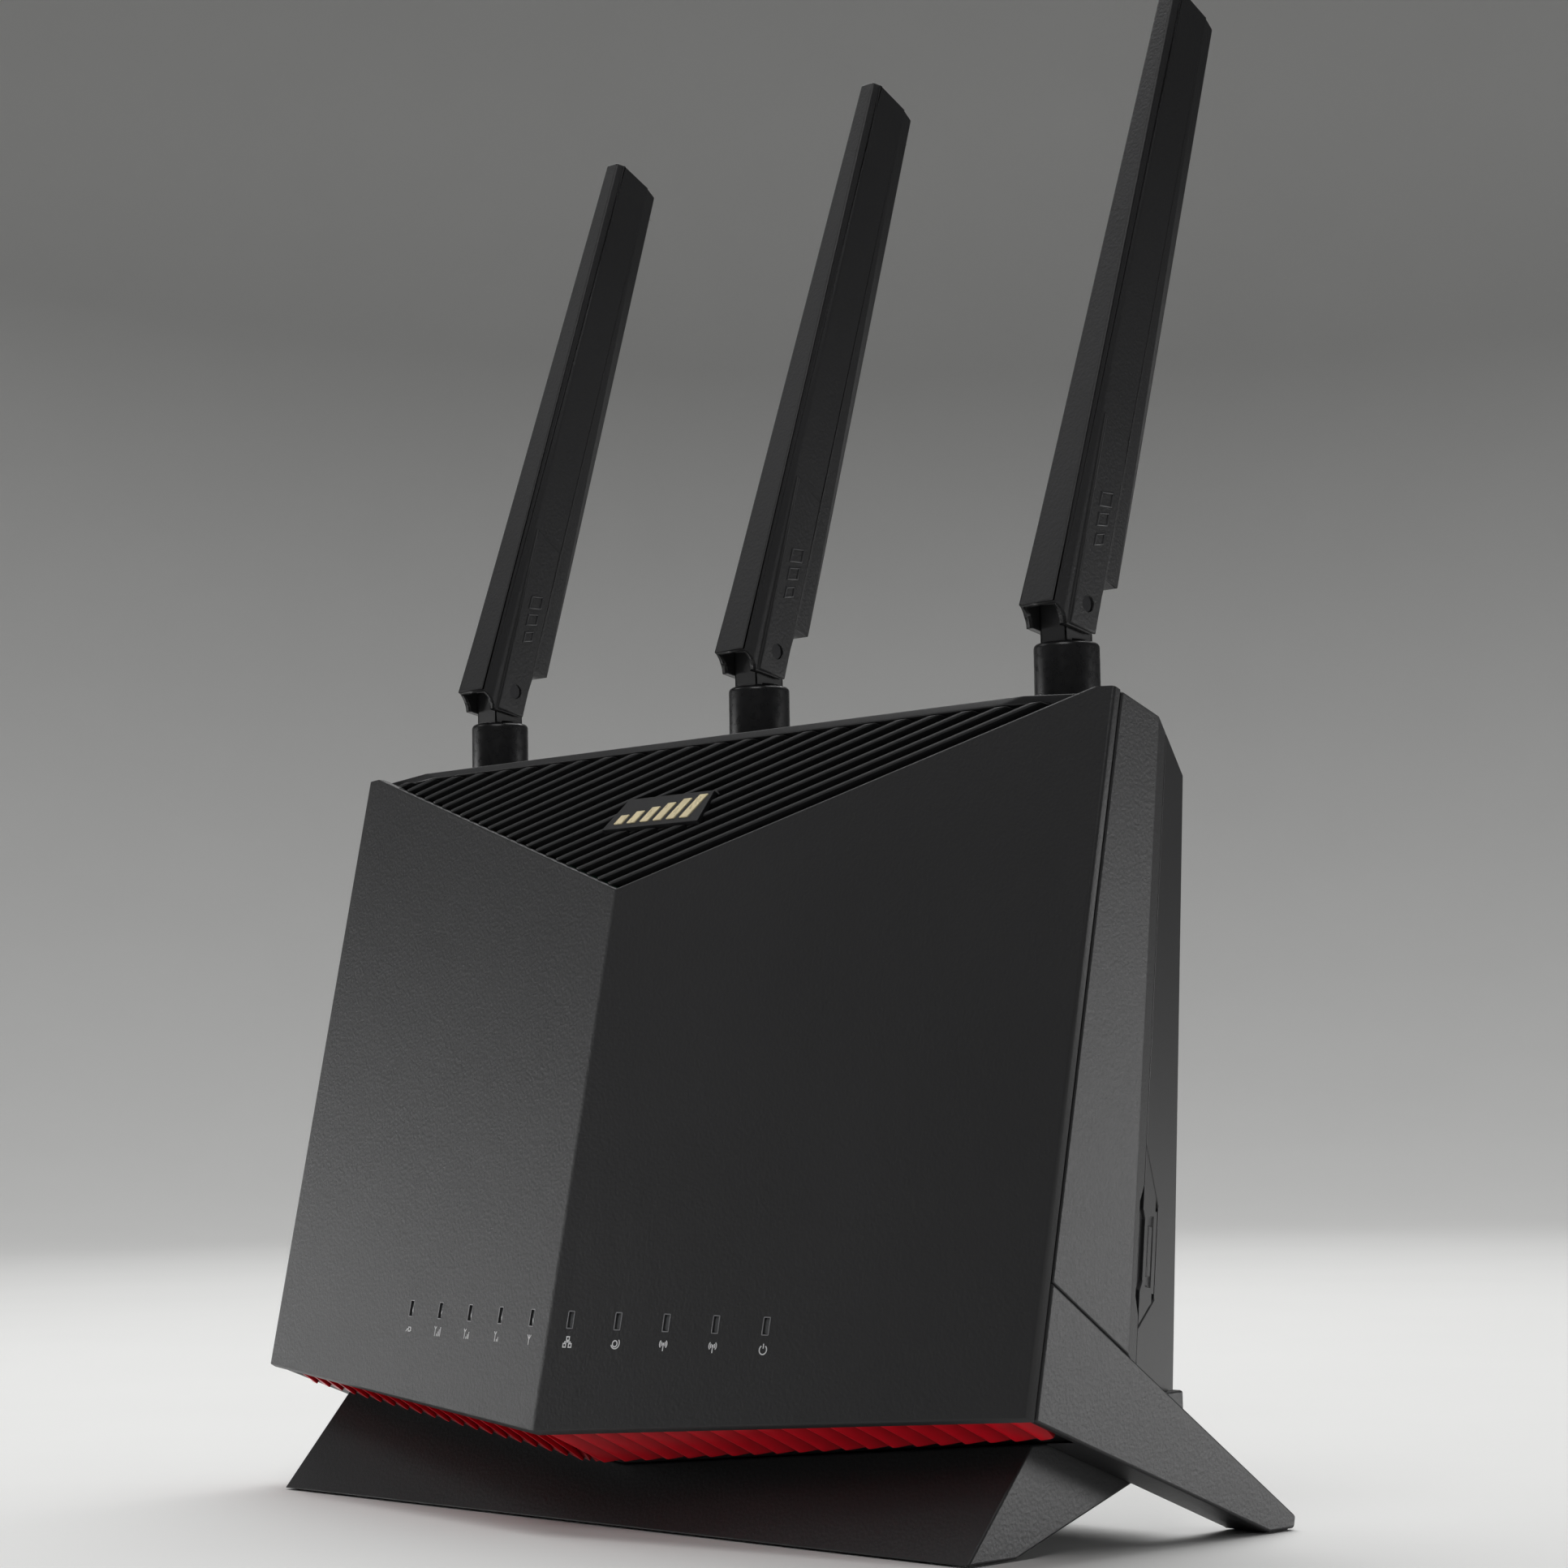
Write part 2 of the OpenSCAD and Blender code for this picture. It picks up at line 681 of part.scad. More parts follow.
module rear_cover() color(trim_black) in_place() {
    open = -far / 10;
    difference() {
        union() {
            difference() {
                housing_volume(facet = wall + seam, under = band_recess + band_t + seam);
                housing_volume(facet = open, grille = open, roof = roof_wall, side = open, strip = wall,
                    rear = wall, under = open, keel = wall);
            }
            intersection() {
                housing_volume();
                at_screws() along_y(board_rear_y + seam, rear_y, boss_r);
            }
            at_antennas() translate([0, 0, roof_z(antenna_y + seat_r) - roof_wall])
                cylinder(r = seat_r, h = antenna_seat_z - roof_z(antenna_y + seat_r) + roof_wall);
            // Thicker wall around the SIM bay.
            intersection() {
                housing_volume(facet = wall + seam);
                on_strip() side_slab(-bay_depth, -0.5) polygon([
                    [lip_w + seam, side_height(sim_door_z[0] - 2)],
                    [sim_door_edge + bay_wall, side_height(sim_door_z[1] + 3)],
                    [sim_door_edge + bay_wall, side_height(sim_door_z[2] - 3)],
                    [lip_w + seam, side_height(sim_door_z[3] + 1)]]);
            }
        }
        // Room for the side panels with their lips, and for the legs and the grille.
        both_sides() translate([half_w - wall - seam, -far, 0]) cube([far, 2 * far, far]);
        both_sides() intersection() {
            difference() {
                right_half();
                beyond([lip_face[0] + lip_face[1] * seam, lip_face[1]]);
            }
            beyond(strip_face, wall + seam);
        }
        intersection() {
            beyond(grille_face, bar_depth + grille_frame_depth + seam);
            housing_volume(roof = roof_wall, facet = open, side = open, grille = open);
        }
        port_cuts();
        vents();
        at_screws() along_y(0, rear_y + 1, screw_r + screw_play);
        at_screws() along_y(rear_y - 2.4, rear_y + 1, screw_head_r);
        at_antennas() translate([0, 0, antenna_under_z - 5]) cylinder(r = socket_r + 0.05, h = far);
        // Door pocket, hinge sockets and the way in to the card socket.
        on_strip() side_slab(-sim_door_t - 0.25, far / 20) door_outline();
        on_strip() translate([-hinge_r, hinge_s, side_height(sim_door_z[2] - 0.7)])
            cylinder(r = hinge_pin_r + running_gap,
                h = (sim_door_z[1] - sim_door_z[2] + 1.4) / edge_dir.z);
        on_strip() translate([-hinge_r, hinge_s, side_height(sim_door_z[2]) + 0.6])
            cylinder(r = hinge_r + 0.15, h = (sim_door_z[1] - sim_door_z[2]) / edge_dir.z - 1.2);
        sim_window();
    }
}

// --- SIM door and socket -----------------------------------------------------------------------

module sim_door() color(trim_black) in_place() on_strip() {
    low = side_height(sim_door_z[2]) + 1;
    high = side_height(sim_door_z[1]) - 1;
    card_deep = 0.35;
    card_w = 4.4;
    card_edge = 1;
    nail_deep = 0.8;
    pin_over = 1.2;
    difference() {
        union() {
            intersection() {
                side_slab(-sim_door_t, 0) door_outline(seam + 0.05);
                // The plate's slanted ends stop short of the barrel, so that they clear the pocket.
                union() {
                    translate([-far / 20, -far, -far])
                        cube([far / 10, far + hinge_s - hinge_r - 0.4, 2 * far]);
                    translate([-far / 20, -far, low]) cube([far / 10, far + hinge_s, high - low]);
                }
            }
            translate([-hinge_r, hinge_s, low]) cylinder(r = hinge_r, h = high - low);
            translate([-hinge_r, hinge_s, low - pin_over])
                cylinder(r = hinge_pin_r, h = high - low + 2 * pin_over);
        }
        // A raised card outline stands in a shallow field on the door's face.
        difference() {
            translate([-card_deep, lip_w + card_w, low + 1.2]) cube([1, card_w, high - low - 2.4]);
            translate([-1, lip_w + card_w + card_edge, low + 3.2])
                cube([2, card_w - 2 * card_edge, high - low - 6.4]);
        }
        // Nail recess along the front edge.
        side_slab(-nail_deep, far / 20) polygon([[lip_w - 1, low - 1], [lip_w + 1.9, low + 2],
            [lip_w + 1.9, high - 2], [lip_w - 1, high + 1]]);
    }
}

socket_z = (sim_door_z[1] + sim_door_z[2]) / 2;
board_half_w = half_w - 15;
board_low_z = keel_at(board_half_w) + wall + 3;
board_high_z = front_top_z - 26;

module sim_socket() color(steel) in_place() {
    l = 15;
    w = 14.5;
    h = 2.4;
    slot_t = 0.9;
    skin = 0.7;
    translate([board_half_w - l, board_front_y - h, socket_z - w / 2]) difference() {
        cube([l, h, w]);
        translate([1.2, skin, 1]) cube([l, slot_t, w - 2]);
    }
}

// --- Boards ------------------------------------------------------------------------------------

module main_board() color(board_green) in_place() {
    difference() {
        translate([-board_half_w, board_front_y, board_low_z])
            cube([2 * board_half_w, board_t, board_high_z - board_low_z]);
        at_screws() along_y(0, rear_y, screw_r + screw_play);
    }
}

chip_size = 19;
chip_t = 1.5;
chip_z = (board_low_z + board_high_z) / 2 + 6;
chip_spots = [[-20, 8], [16, 10], [14, -22]];
pad_t = 0.8;
sink_half_w = 48;
sink_half_h = 36;
sink_base_t = 3;
fin_h = 14;
sink_y = board_front_y - chip_t - pad_t;

module at_chips() {
    for (p = chip_spots) translate([p.x, 0, chip_z + p.y]) children();
}

module main_chips() color([0.05, 0.05, 0.05]) in_place() at_chips()
    translate([-chip_size / 2, board_front_y - chip_t, -chip_size / 2])
        cube([chip_size, chip_t, chip_size]);

module thermal_pads() color([0.6, 0.7, 0.75]) in_place() at_chips()
    translate([-chip_size / 2 + 1, sink_y, -chip_size / 2 + 1])
        cube([chip_size - 2, pad_t, chip_size - 2]);

module heatsink() color(steel) in_place() translate([0, sink_y, chip_z]) {
    fins = 17;
    fin_t = 1.2;
    pitch = (2 * sink_half_w - fin_t) / (fins - 1);
    translate([-sink_half_w, -sink_base_t, -sink_half_h])
        cube([2 * sink_half_w, sink_base_t, 2 * sink_half_h]);
    for (i = [0 : fins - 1])
        translate([-sink_half_w + i * pitch, -sink_base_t - fin_h, -sink_half_h])
            cube([fin_t, fin_h + 0.5, 2 * sink_half_h]);
}

module rf_shields() color(steel) in_place() {
    can_h = 2.6;
    can_t = 0.4;
    // Centre, width and height of each can on the board's rear face.
    for (c = [[-52, 96, 38, 30], [0, 92, 34, 26], [48, 98, 36, 28]])
        translate([c[0] - c[2] / 2, board_rear_y, c[1] - c[3] / 2]) difference() {
            cube([c[2], can_h, c[3]]);
            translate([can_t, -1, can_t]) cube([c[2] - 2 * can_t, can_h - can_t + 1, c[3] - 2 * can_t]);
        }
}

lte_x = half_w - 60;
lte_z = 92;
lte_y = board_front_y - 5;

module lte_module() color(steel) in_place() translate([lte_x, 0, lte_z]) {
    card_w = 22;
    card_h = 42;
    // Card, shielded top, and the edge connector that stands on the main board.
    translate([-card_w / 2, lte_y, -card_h / 2]) cube([card_w, 1, card_h]);
    translate([-card_w / 2 + 1, lte_y - 2, -card_h / 2 + 6]) cube([card_w - 2, 2, card_h - 10]);
    translate([-card_w / 2, lte_y + 1, -card_h / 2 - 3]) cube([card_w, board_front_y - lte_y - 1, 6]);
    translate([-2, lte_y + 1, card_h / 2 - 4]) cube([4, board_front_y - lte_y - 1, 4]);
}

lte_antenna_z = [84, front_top_z - 28];
lte_antenna_t = 2.2;
lte_antenna_w = 9;
lte_antenna_x = flange_x - lte_antenna_t - seam;

// Where the tapered strip's inner face lies at a given X and height.
function strip_inner_y(x, z) = -side_low_forward + (z - side_low_z) * tan(edge_lean)
    + ((half_w - x) * cos(strip_turn) - wall) / sin(strip_turn);
lte_antenna_y = strip_inner_y(flange_x - seam, lte_antenna_z[0]) - lte_antenna_w - 0.5;

module lte_antennas() color(board_green) in_place() both_sides()
    translate([lte_antenna_x, lte_antenna_y, lte_antenna_z[0]])
        cube([lte_antenna_t, lte_antenna_w, lte_antenna_z[1] - lte_antenna_z[0]]);

module lte_leads() color(trim_black) in_place() {
    lead_r = 0.6;
    top_z = board_high_z + 4;
    y = 4;
    for (s = [-1, 1]) lead([[lte_x + s * 5, lte_y - 0.2, lte_z + 19.6],
        [lte_x + s * 5, y - 1, lte_z + 24], [lte_x + s * 5, y, top_z + s],
        [s * (lte_antenna_x - 6), y, top_z + s], [s * (lte_antenna_x - 1.5), y, top_z - 4],
        [s * (lte_antenna_x - 0.6), y, lte_antenna_z[1] - 8]], lead_r);
}

// --- Status lights -----------------------------------------------------------------------------

led_t = 0.8;

module led_board() color(board_green) in_place() difference() {
    translate([-led_post_x - 5, led_board_y + 0.05, light_z - led_board_h / 2])
        cube([2 * led_post_x + 10, led_board_t, led_board_h]);
    at_led_posts() along_y(-far / 4, 0, 0.8);
}

module status_leds() color([0.9, 0.9, 0.8]) in_place() for (i = [0 : light_count - 1])
    translate([light_x(i) - 0.8, led_board_y - led_t, light_z - 0.8]) cube([1.6, led_t, 1.6]);

module light_guides() color([0.85, 0.9, 0.92]) in_place() intersection() {
    slack = 0.1;
    housing_volume(facet = 0.5);
    for (i = [0 : light_count - 1])
        translate([light_x(i) - light_w / 2 + slack, -far / 4, light_z - light_h / 2 + slack])
            cube([light_w - 2 * slack, far / 4 + led_board_y - led_t - 0.1, light_h - 2 * slack]);
}

// Flat ribbon from the light board back to the main board, with its two plugs.
module led_ribbon() color([0.75, 0.75, 0.72]) in_place() {
    x = led_post_x - 12;
    w = 9;
    t = 0.6;
    y0 = led_board_y + led_board_t + 0.1;
    y1 = board_front_y - 0.05;
    plug = 4;
    steps = 16;
    span = y1 - y0 - 2 * plug;
    ribbon_drop = 5;
    middle = [for (i = [0 : steps])
        [y0 + plug - 0.5 + (span + 1) * i / steps, light_z - ribbon_drop * sin(180 * i / steps)]];
    side_slab(x - w / 2, x + w / 2) polygon(concat(
        [for (p = middle) p + [0, t / 2]],
        [for (i = [steps : -1 : 0]) middle[i] - [0, t / 2]]));
    for (y = [y0, y1 - plug]) translate([x - w / 2 - 1, y, light_z - 2]) cube([w + 2, plug, 4]);
}

// --- Sockets on the rear -----------------------------------------------------------------------

jack_h = 13.6;
jack_depth = rear_inner_y - board_rear_y - 0.1;

// A row of network sockets: shell, square mouths, latch notches and contact combs.
module network_jack(count) {
    cavity_deep = 12.6;
    mouth_w = 11.7;
    mouth_h = 7;
    w = (count - 1) * jack_pitch + 15.6;
    difference() {
        translate([-w / 2, board_rear_y, -jack_h / 2]) cube([w, jack_depth, jack_h]);
        for (i = [0 : count - 1]) translate([(i - (count - 1) / 2) * jack_pitch, 0, 0]) {
            translate([-mouth_w / 2, rear_inner_y - cavity_deep, -mouth_h / 2])
                cube([mouth_w, far / 10, mouth_h]);
            translate([-3, rear_inner_y - cavity_deep, -mouth_h / 2 - 1.6])
                cube([6, far / 10, mouth_h]);
        }
    }
    contact_w = 0.5;
    for (i = [0 : count - 1], k = [-3.5 : 3.5])
        translate([(i - (count - 1) / 2) * jack_pitch + k * 1.02 - contact_w / 2,
                rear_inner_y - cavity_deep - 0.2, mouth_h / 2 - 0.9])
            cube([contact_w, 7, 1.2]);
}

module wan_jack() color(steel) in_place() translate([wan_x, 0, port_z]) network_jack(1);
module lan_jacks() color(steel) in_place() translate([lan_x, 0, port_z]) network_jack(4);

usb_w = 13.2;
usb_h = 5.8;

module usb_port() color(steel) in_place() translate([usb_x, 0, port_z]) {
    skin = 0.4;
    back = 4;
    difference() {
        translate([-usb_w / 2, board_rear_y, -usb_h / 2]) cube([usb_w, jack_depth, usb_h]);
        translate([-usb_w / 2 + skin, board_rear_y + back, -usb_h / 2 + skin])
            cube([usb_w - 2 * skin, far / 10, usb_h - 2 * skin]);
    }
    translate([-5.6, board_rear_y + back - 1, 0.2]) cube([11.2, 10.5, 1.9]);
}

module dc_jack() color(trim_black) in_place() translate([dc_x, 0, port_z]) {
    hole_r = 2.85;
    hole_deep = 9.5;
    difference() {
        union() {
            translate([-4.6, board_rear_y, -5.4]) cube([9.2, jack_depth, 10.8]);
            along_y(rear_inner_y - 1, rear_y - 0.4, dc_face_r - 0.2);
        }
        along_y(rear_y - hole_deep, rear_y + 1, hole_r);
    }
    along_y(rear_y - hole_deep - 1, rear_y - 2, 1.05);
}

// --- Buttons -----------------------------------------------------------------------------------

stem_r = 1.5;
switch_deep = 7;
switch_top = board_rear_y + switch_deep;

module button_spots() {
    for (x = [power_x, wps_x, wifi_x, reset_x]) translate([x, 0, port_z]) children();
}

module button_switches() color([0.12, 0.12, 0.13]) in_place() button_spots() difference() {
    translate([-3.5, board_rear_y, -3.5]) cube([7, switch_deep, 7]);
    along_y(board_rear_y + 2, far / 10, stem_r + 0.2);
}

module button_stem() {
    along_y(switch_top - 1.5, rear_inner_y - 0.6, stem_r);
}

flange_back = 1.2;

module power_button() color(trim_black) in_place() translate([power_x, 0, port_z]) {
    dish = 14;
    button_stem();
    along_y(rear_inner_y - flange_back, rear_inner_y - 0.2, power_r + 1);
    difference() {
        along_y(rear_inner_y - 0.4, rear_y + power_travel + 0.2, power_r);
        translate([0, rear_y + power_travel + dish - 0.3, 0]) sphere(r = dish);
    }
}

module small_button() {
    button_stem();
    pill(small_w + 2, small_h + 2, rear_inner_y - flange_back, rear_inner_y - 0.2);
    pill(small_w, small_h, rear_inner_y - 0.4, rear_y + button_travel);
}

module wps_button() color(trim_black) in_place() translate([wps_x, 0, port_z]) small_button();
module wifi_button() color(trim_black) in_place() translate([wifi_x, 0, port_z]) small_button();

module reset_button() color(band_red) in_place() translate([reset_x, 0, port_z]) {
    button_stem();
    along_y(rear_inner_y - flange_back, rear_inner_y - 0.2, reset_r + 1);
    along_y(rear_inner_y - 0.4, rear_y - 0.8, reset_r);
}

// --- Fasteners ---------------------------------------------------------------------------------

module housing_screws() color(steel) in_place() at_screws() difference() {
    head_y = rear_y - 2;
    cross_l = 3.6;
    cross_w = 0.8;
    union() {
        along_y(screw_tip_y, head_y, screw_r - screw_fit);
        along_y(head_y - 0.3, head_y + 1.5, screw_head_r - 0.4);
    }
    for (a = [0, 90]) rotate([0, a, 0]) translate([-cross_l / 2, head_y + 0.5, -cross_w / 2])
        cube([cross_l, 2, cross_w]);
}

module leg_screws() color(steel) in_place() both_sides() {
    head_h = 1.7;
    tip_room = 1.1;
    at_leg_screw(flange_x - head_h) cylinder(r = leg_screw_r - screw_fit,
        h = half_w - tip_room - flange_x + head_h);
    at_leg_screw(flange_x - head_h - 0.05) cylinder(r = 2 * leg_screw_r, h = head_h);
}

// --- Antennas ----------------------------------------------------------------------------------

collar_top_z = front_top_z + collar_rise;
collar_low_z = antenna_seat_z + 0.3;
socket_top_z = collar_top_z - 6.7;

module antenna_sockets() color(badge_gold) in_place() at_antennas() difference() {
    union() {
        translate([0, 0, antenna_under_z - 6])
            cylinder(r = socket_r, h = socket_top_z - antenna_under_z + 6);
        translate([0, 0, antenna_under_z - 2.6]) cylinder(r = 5, h = 2.4, $fn = 6);
    }
    translate([0, 0, socket_top_z - 4]) cylinder(r = 2.2, h = far);
}

// The roof's under side below the antenna seats.
antenna_under_z = roof_z(antenna_y + seat_r) - roof_wall;

module antenna_leads() color(trim_black) in_place() at_antennas() {
    plug_z = antenna_under_z - 36;
    lead([[0, 0, antenna_under_z - 6], [0, 0, plug_z + 12], [0, -1.6, plug_z + 4],
        [0, board_rear_y + 2.2 - antenna_y, plug_z]], 0.65);
    translate([0, board_rear_y - antenna_y, plug_z]) rotate([-90, 0, 0]) cylinder(r = 1.4, h = 2.2);
}

module at_antenna(x) {
    in_place() translate([x, antenna_y, 0]) children();
}

module at_pin(x) {
    at_antenna(x) translate([0, 0, pin_z]) rotate([-blade_lean, 0, 0]) children();
}

// The knuckle's round foot turns in the collar, and its neck comes out at the top.
foot_r = 5;
neck_r = 4.2;
foot_z = collar_top_z - 6;
foot_h = 3.4;
collar_lip_t = 2.4;
swivel_gap = 0.1;

module collar(x) color(trim_black) at_antenna(x) {
    round_r = 1;
    neck_gap = 0.15;
    foot_gap = 0.2;
    rotate_extrude() polygon(concat(
        [[socket_r + running_gap, collar_low_z], [collar_r, collar_low_z]],
        [for (a = [0 : 15 : 90])
            [collar_r - round_r + round_r * cos(a), collar_top_z - round_r + round_r * sin(a)]],
        [[neck_r + neck_gap, collar_top_z], [neck_r + neck_gap, collar_top_z - collar_lip_t],
            [foot_r + swivel_gap, collar_top_z - collar_lip_t],
            [foot_r + swivel_gap, foot_z - foot_gap],
            [socket_r + running_gap, foot_z - foot_gap]]));
}

module knuckle(x) color(trim_black) at_antenna(x) {
    corner_r = 5.4;
    neck_over = 0.6;
    difference() {
        union() {
            translate([0, 0, foot_z]) cylinder(r = foot_r, h = foot_h);
            translate([0, 0, foot_z]) cylinder(r = neck_r, h = collar_top_z - foot_z + neck_over);
            intersection() {
                translate([0, 0, collar_top_z]) cylinder(r = corner_r, h = pin_rise + neck_r);
                union() {
                    translate([-knuckle_w / 2, -neck_r, collar_top_z])
                        cube([knuckle_w, 2 * neck_r, pin_rise]);
                    translate([-knuckle_w / 2, 0, pin_z]) rotate([0, 90, 0])
                        cylinder(r = neck_r, h = knuckle_w);
                }
            }
        }
        translate([-far, 0, pin_z]) rotate([0, 90, 0]) cylinder(r = pin_r + running_gap, h = 2 * far);
    }
}

ear_x = 6.2;
ear_gap = 0.2;
pin_head_r = 1.8;
pin_head_t = 0.8;
pin_sunk = 0.4;
pin_fit = 0.02;

module pin(x) color(steel) at_pin(x) rotate([0, 90, 0]) {
    reach = ear_x - pin_sunk;
    translate([0, 0, -reach]) cylinder(r = pin_r, h = 2 * reach);
    for (z = [-reach, reach - pin_head_t]) translate([0, 0, z]) cylinder(r = pin_head_r, h = pin_head_t);
}

// Blade sections: half widths in X against depth, at the foot and at the tip.
blade_foot_t = -2.6;
blade_foot = [[4.7, -9.2], [5.6, -6], [5.6, 5.5], [4.8, 9.8]];
blade_tip = [[2, -5.2], [3, -3], [3, 5.4], [2.3, 8.9]];
blade_skin = 1.3;

module blade_section(points, inset = 0) {
    right = [for (p = points) [p.x - inset, p.y - inset * sign(p.y)]];
    polygon(concat(right, [for (i = [len(right) - 1 : -1 : 0]) [-right[i].x, right[i].y]]));
}

module blade_loft(inset, from, to) {
    slice = 0.2;
    hull() {
        translate([0, 0, blade_foot_t + from]) linear_extrude(slice) blade_section(blade_foot, inset);
        translate([0, 0, blade_l + to]) linear_extrude(slice) blade_section(blade_tip, inset);
    }
}

// Side outline of the blade: slanted tip, rear step, and the rounded notch above the collar.
ear_half = 4.4;
ear_low = -6;
step_t = 7.6;

module blade_outline() {
    front_u = -9.2;
    notch_c = [front_u - 0.4, ear_low - 1.2];
    notch_rx = -ear_half - notch_c.x;
    notch_ry = blade_foot_t - notch_c.y;
    polygon(concat(
        [[-far, far], [front_u - 4, blade_foot_t]],
        [for (a = [85 : -12 : 13]) notch_c + [notch_rx * cos(a), notch_ry * sin(a)]],
        [[-ear_half, ear_low], [ear_half - 0.2, ear_low + 0.9], [ear_half, step_t], [far, step_t],
            [far, far]]));
}

// The two ears, thinning upwards into a flat pad on the blade's front.
module blade_pad() {
    slice = 0.2;
    ear_t = 2;
    ear_top = 0.6;
    pad_top = 41.9;
    pad_drop = 2.7;
    pad_half_w = 5.4;
    pad_half_l = ear_half - 0.4;
    hull() {
        for (s = [-1, 1]) translate([s * (ear_x - ear_t / 2), 0, 0]) side_slab(-ear_t / 2, ear_t / 2)
            polygon([[-pad_half_l, ear_low - 1], [pad_half_l, ear_low - 1], [pad_half_l, ear_top],
                [-pad_half_l, ear_top]]);
        side_slab(-pad_half_w, pad_half_w) polygon([[-pad_half_l, pad_top - slice], [-pad_half_l, pad_top],
            [pad_half_l, pad_top - pad_drop], [pad_half_l, pad_top - pad_drop - slice]]);
    }
}

cover_half_w = [3, 1.2];

// Room for the rear cover strip of a blade, or the strip itself.
module cover_strip(grow) {
    slice = 0.2;
    low = step_t + 4 - grow;
    high = blade_l - tip_slant - 6 + grow;
    hull() {
        translate([-cover_half_w[0] - grow, 5, low]) cube([2 * (cover_half_w[0] + grow), 9, slice]);
        translate([-cover_half_w[1] - grow, 5, high]) cube([2 * (cover_half_w[1] + grow), 9, slice]);
    }
}

module blade(x) color(housing_black) at_pin(x) {
    tip_angle = atan2(tip_slant, blade_tip[3].y - blade_tip[0].y);
    difference() {
        intersection() {
            union() {
                blade_loft(0, -6, 1);
                blade_pad();
            }
            side_slab(-far, far) blade_outline();
            translate([0, blade_tip[0].y, blade_l]) rotate([-tip_angle, 0, 0])
                translate([-far, -far, -far]) cube([2 * far, 2 * far, far]);
        }
        // Hollow with solid ends; open below for the fork.
        blade_loft(blade_skin, step_t + 6, -8);
        cover_strip(0.1);
        translate([-knuckle_w / 2 - ear_gap, -9.2 + blade_skin, -far])
            cube([knuckle_w + 2 * ear_gap, far, far + step_t]);
        translate([-far, 0, 0]) rotate([0, 90, 0]) cylinder(r = pin_r + pin_fit, h = 2 * far);
        for (s = [-1, 1]) translate([s * (ear_x - pin_sunk - pin_head_t - pin_fit + far / 2), 0, 0])
            rotate([0, 90, 0]) cylinder(r = pin_head_r + pin_fit, h = far, center = true);
    }
}

module blade_cover(x) color(housing_black) at_pin(x) difference() {
    intersection() {
        blade_loft(0, 0, 0);
        cover_strip(0);
    }
    translate([-far, -far, -far]) cube([2 * far, far + 7.6, 2 * far]);
}

// Antenna strip with the end of its coaxial lead soldered along it.
module radiator(x) color(board_green) at_pin(x) {
    translate([-0.4, -3.2, 16]) cube([0.8, 6.4, blade_l - 34]);
    translate([0.9, 0, 15]) cylinder(r = 0.6, h = 40);
}

// --- Nodes -------------------------------------------------------------------------------------

front_cover();
top_grille();
badge_plate();
badge_mark();
side_panel_left();
side_panel_right();
leg_left();
leg_right();
underside_trim();
base_stand();
rubber_feet();
rear_cover();
sim_door();
sim_socket();
main_board();
main_chips();
thermal_pads();
heatsink();
rf_shields();
lte_module();
lte_antennas();
lte_leads();
led_board();
status_leds();
light_guides();
led_ribbon();
wan_jack();
lan_jacks();
usb_port();
dc_jack();
button_switches();
power_button();
wifi_button();
wps_button();
reset_button();
housing_screws();
leg_screws();
antenna_sockets();
antenna_leads();
collar(-antenna_x);  // collar_left
knuckle(-antenna_x);  // knuckle_left
pin(-antenna_x);  // pin_left
blade(-antenna_x);  // blade_left
blade_cover(-antenna_x);  // blade_cover_left
radiator(-antenna_x);  // radiator_left
collar(0);  // collar_middle
knuckle(0);  // knuckle_middle
pin(0);  // pin_middle
blade(0);  // blade_middle
blade_cover(0);  // blade_cover_middle
radiator(0);  // radiator_middle
collar(antenna_x);  // collar_right
knuckle(antenna_x);  // knuckle_right
pin(antenna_x);  // pin_right
blade(antenna_x);  // blade_right
blade_cover(antenna_x);  // blade_cover_right
radiator(antenna_x);  // radiator_right
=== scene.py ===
import json
from math import cos, radians, sin

import bmesh
import bpy
import numpy as np
from mathutils import Matrix, Vector


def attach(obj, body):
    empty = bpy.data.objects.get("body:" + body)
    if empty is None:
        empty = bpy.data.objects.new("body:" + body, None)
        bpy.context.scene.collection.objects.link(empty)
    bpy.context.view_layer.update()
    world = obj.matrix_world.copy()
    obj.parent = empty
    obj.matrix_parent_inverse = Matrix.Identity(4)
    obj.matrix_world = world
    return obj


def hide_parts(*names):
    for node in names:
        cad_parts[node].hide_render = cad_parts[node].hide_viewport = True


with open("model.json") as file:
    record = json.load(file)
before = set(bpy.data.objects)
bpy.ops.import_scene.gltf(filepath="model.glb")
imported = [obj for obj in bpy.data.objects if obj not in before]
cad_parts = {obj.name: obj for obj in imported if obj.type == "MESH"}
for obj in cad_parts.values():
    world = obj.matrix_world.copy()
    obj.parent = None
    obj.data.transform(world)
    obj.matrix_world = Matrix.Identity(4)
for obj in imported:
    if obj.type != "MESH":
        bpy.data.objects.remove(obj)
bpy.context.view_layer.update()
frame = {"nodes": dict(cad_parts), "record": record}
mm = 0.001
print("frame loaded with", len(frame["nodes"]), "nodes")


# camera, floor and lights: all sizes in metres, angles in degrees
studio = {
    "cameraPlace": (0.5539, -0.52325, 0.08744),
    "cameraHeading": 45.76,  # 0 looks along +Y, 90 along -X
    "cameraPitch": 5.43,
    "cameraRoll": -0.91,
    "lens": 78.0,
    "sensor": 36.0,
    "floorFlat": 1.6,  # radius of the flat floor before it curves up
    "floorRise": 1.1,  # radius of the curve
    "floorHeight": 3.2,  # top of the backdrop
    "floorStretch": 0.9,  # how much further out the floor goes on where there is no backdrop
    "backdropHalfAngle": 22.0,  # the floor only curves up behind the object, within this angle
    "backdropFade": 14.0,  # and sinks back to flat over this one
    "floorColour": (0.80, 0.80, 0.79),
    "worldStrength": 0.05,
}


